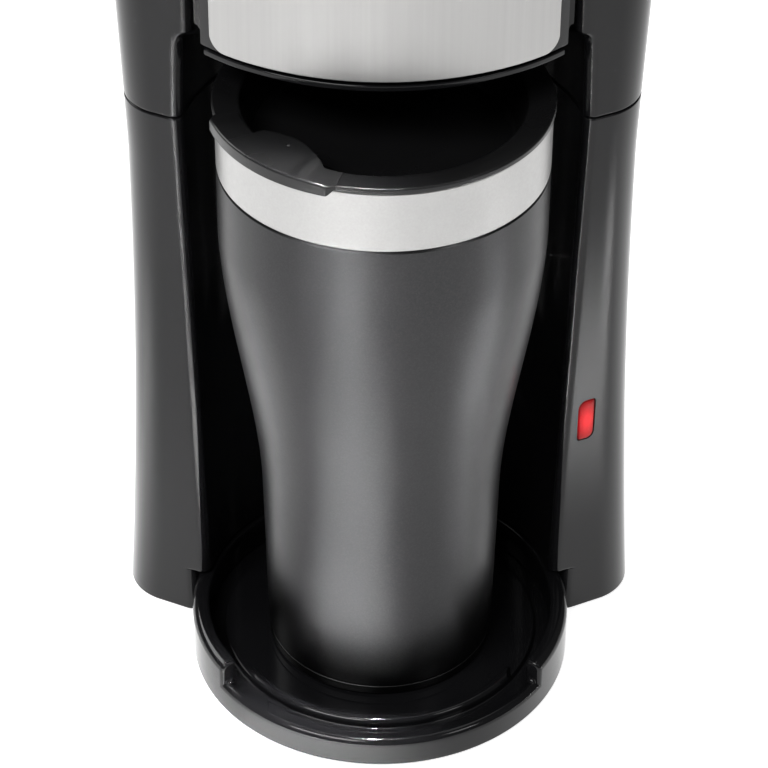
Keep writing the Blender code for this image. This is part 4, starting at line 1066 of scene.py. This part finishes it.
def drink_slider():
    """The closure over the ring's left front: a lip hooked over the edge and a tongue to the dish."""
    under = LID_Z[1] + 0.02
    start, end = SLIDER_DEG
    hook = LID_FLANGE_R + 0.1
    thin = hook + 0.15
    angles = [start + (end - start) * i / 110 for i in range(111)]
    angles += [TONGUE_START_DEG - 0.01, TONGUE_START_DEG + 0.01]
    loops = []
    for angle in sorted(angles):
        from_end = min(angle - start, end - angle)
        full = smooth_step(0.0, 3.0, from_end)
        blend = smooth_step(0.0, 9.0, from_end)
        inner = tongue_edge(angle)
        outer = thin + (SLIDER_R - thin) * full
        crown = under + 0.1 + 0.75 * blend
        foot = SLIDER_LOW_Z + 1.5 * (1.0 - full)
        tip = 0.45 * smooth_step(-33.0, -28.5, angle) * (1.0 - smooth_step(-26.5, -24.0, angle))
        section = rounded([
            (inner, under, 0.03), (hook, under, 0.03), (hook, foot, 0.02), (outer, foot, 0.05),
            (outer, crown, 0.08 + 0.62 * full), (inner, under + 0.1 + 0.35 * blend + tip, 0.08),
        ], 5)
        loops.append([(x, MUG_Y + y, z) for x, y, z in turned_loop(section, angle)])
    bm = bmesh.new()
    skin(bm, loops)
    slider = made("sip_slider", bm, "lid_plastic", ("drink_slider",), "drink_slider", sharp=50.0)
    pip = bmesh.new()
    place = Matrix.Translation(placed(*DIMPLE, under + DIMPLE_R))
    bmesh.ops.create_uvsphere(pip, u_segments=16, v_segments=10, radius=DIMPLE_R * MM, matrix=place)
    cut(slider, pip, "slider_dimple")


# ---------------------------------------------------------------- kept CAD nodes

def carry_over():
    """CAD nodes that keep their shape: smooth shading, eased edges and a detailed material."""
    slots = {row["node"]: row["material_slot"] for row in frame["record"]["subparts"]}
    for name, node in frame["nodes"].items():
        if node.hide_render:
            continue
        node.data.materials.clear()
        node.data.materials.append(LOOKS[slots[name]])
        weld = node.modifiers.new("weld", "WELD")
        weld.merge_threshold = 1e-6
        ease = node.modifiers.new("eased edges", "BEVEL")
        ease.width = 0.0002
        ease.segments = 2
        ease.limit_method = "ANGLE"
        ease.angle_limit = math.radians(32.0)
        ease.harden_normals = True
        node.data.shade_smooth()


# ---------------------------------------------------------------- stage

def camera():
    """The view that the object is seen in, given by its tilt, turn and roll."""
    down, turn, roll = CAMERA_DOWN, CAMERA_TURN, CAMERA_ROLL
    ahead = Vector((math.sin(turn) * math.cos(down), math.cos(turn) * math.cos(down), -math.sin(down)))
    right = Vector((math.cos(turn), -math.sin(turn), 0.0))
    low = ahead.cross(right)
    across = math.cos(roll) * right + math.sin(roll) * low
    below = math.cos(roll) * low - math.sin(roll) * right
    data = bpy.data.cameras.new("camera")
    data.lens = CAMERA_LENS_MM
    data.sensor_width = 36.0
    data.clip_end = 20.0
    obj = bpy.data.objects.new("camera", data)
    bpy.context.scene.collection.objects.link(obj)
    axes = Matrix((across, -below, -ahead)).transposed().to_4x4()
    obj.matrix_world = Matrix.Translation(CAMERA_PLACE) @ axes
    bpy.context.scene.camera = obj


def softbox(name, place, target, size, power, spread_deg=180.0):
    """An area light; a narrow spread is a grid on the box, which keeps its light on the floor."""
    data = bpy.data.lights.new(name, "AREA")
    data.shape = "RECTANGLE"
    data.size, data.size_y = size
    data.energy = power
    data.spread = math.radians(spread_deg)
    obj = bpy.data.objects.new(name, data)
    bpy.context.scene.collection.objects.link(obj)
    obj.location = place
    obj.rotation_euler = (Vector(target) - Vector(place)).to_track_quat("-Z", "Y").to_euler()


def pool(name, spot, size, turn_deg, power, spread_deg):
    """A lamp with a tight grid hung over a place on the floor; it lights that place only."""
    softbox(name, (*spot, LAMP_Z), (*spot, 0.0), size, power, spread_deg)
    bpy.data.objects[name].rotation_euler = (0.0, 0.0, math.radians(turn_deg))


def studio():
    """A dim room, soft boxes round the machine, and four pools of light on the floor beside it."""
    world = bpy.data.worlds.new("studio")
    bpy.context.scene.world = world
    world.use_nodes = True
    sky = world.node_tree.nodes["Background"]
    sky.inputs["Color"].default_value = (1.0, 1.0, 1.0, 1.0)
    sky.inputs["Strength"].default_value = 0.14
    middle = (0.0, 0.0, 0.12)
    softbox("key", (-0.6, -0.85, 1.25), middle, (0.9, 0.4), 19.0)
    softbox("fill", (0.9, -0.75, 1.1), middle, (0.4, 0.3), 2.4)
    softbox("rim", (-0.85, 0.62, 0.95), middle, (0.7, 0.5), 8.0)
    softbox("top", (0.0, 0.4, 1.7), (0.0, 0.4, 0.0), (1.5, 1.1), 7.0)
    pool("front_pool", (-0.066, -0.2), (0.03, 0.22), -20.0, 1.0, 5.0)
    pool("far_pool", (-0.13, -0.32), (0.16, 0.12), -20.0, 0.6, 10.0)
    pool("right_pool", (0.19, -0.085), (0.16, 0.04), 0.0, 0.15, 4.0)
    pool("left_pool", (-0.16, -0.01), (0.14, 0.05), 0.0, 0.04, 5.0)
    bpy.context.scene.view_settings.view_transform = "Standard"


def floor():
    """A pale table lit a little from beneath, so that no dark shadow lies on it."""
    white = (1.0, 1.0, 1.0, 1.0)
    look = Look("pale_floor", (0.86,) * 3, 0.6, Emission_Color=white, Emission_Strength=0.85)
    tones = look.tones(look.noise(3.0), [(0.3, (0.85,) * 3), (0.7, (0.88,) * 3)])
    look.vary("Base Color", tones)
    mesh = bpy.data.meshes.new("floor")
    corners = [(x * FLOOR_REACH, y * FLOOR_REACH, 0.0) for x, y in ((-1, -1), (1, -1), (1, 1), (-1, 1))]
    mesh.from_pydata(corners, [], [(0, 1, 2, 3)])
    mesh.materials.append(look.material)
    obj = bpy.data.objects.new("floor", mesh)
    bpy.context.scene.collection.objects.link(obj)


camera()
LOOKS = make_looks()
tray()
lower_shell()
upper_shell()
hinge_bridge()
panel()
head_plate()
top_lid()
button()
mug()
mug_closure()
drink_slider()
carry_over()
floor()
studio()
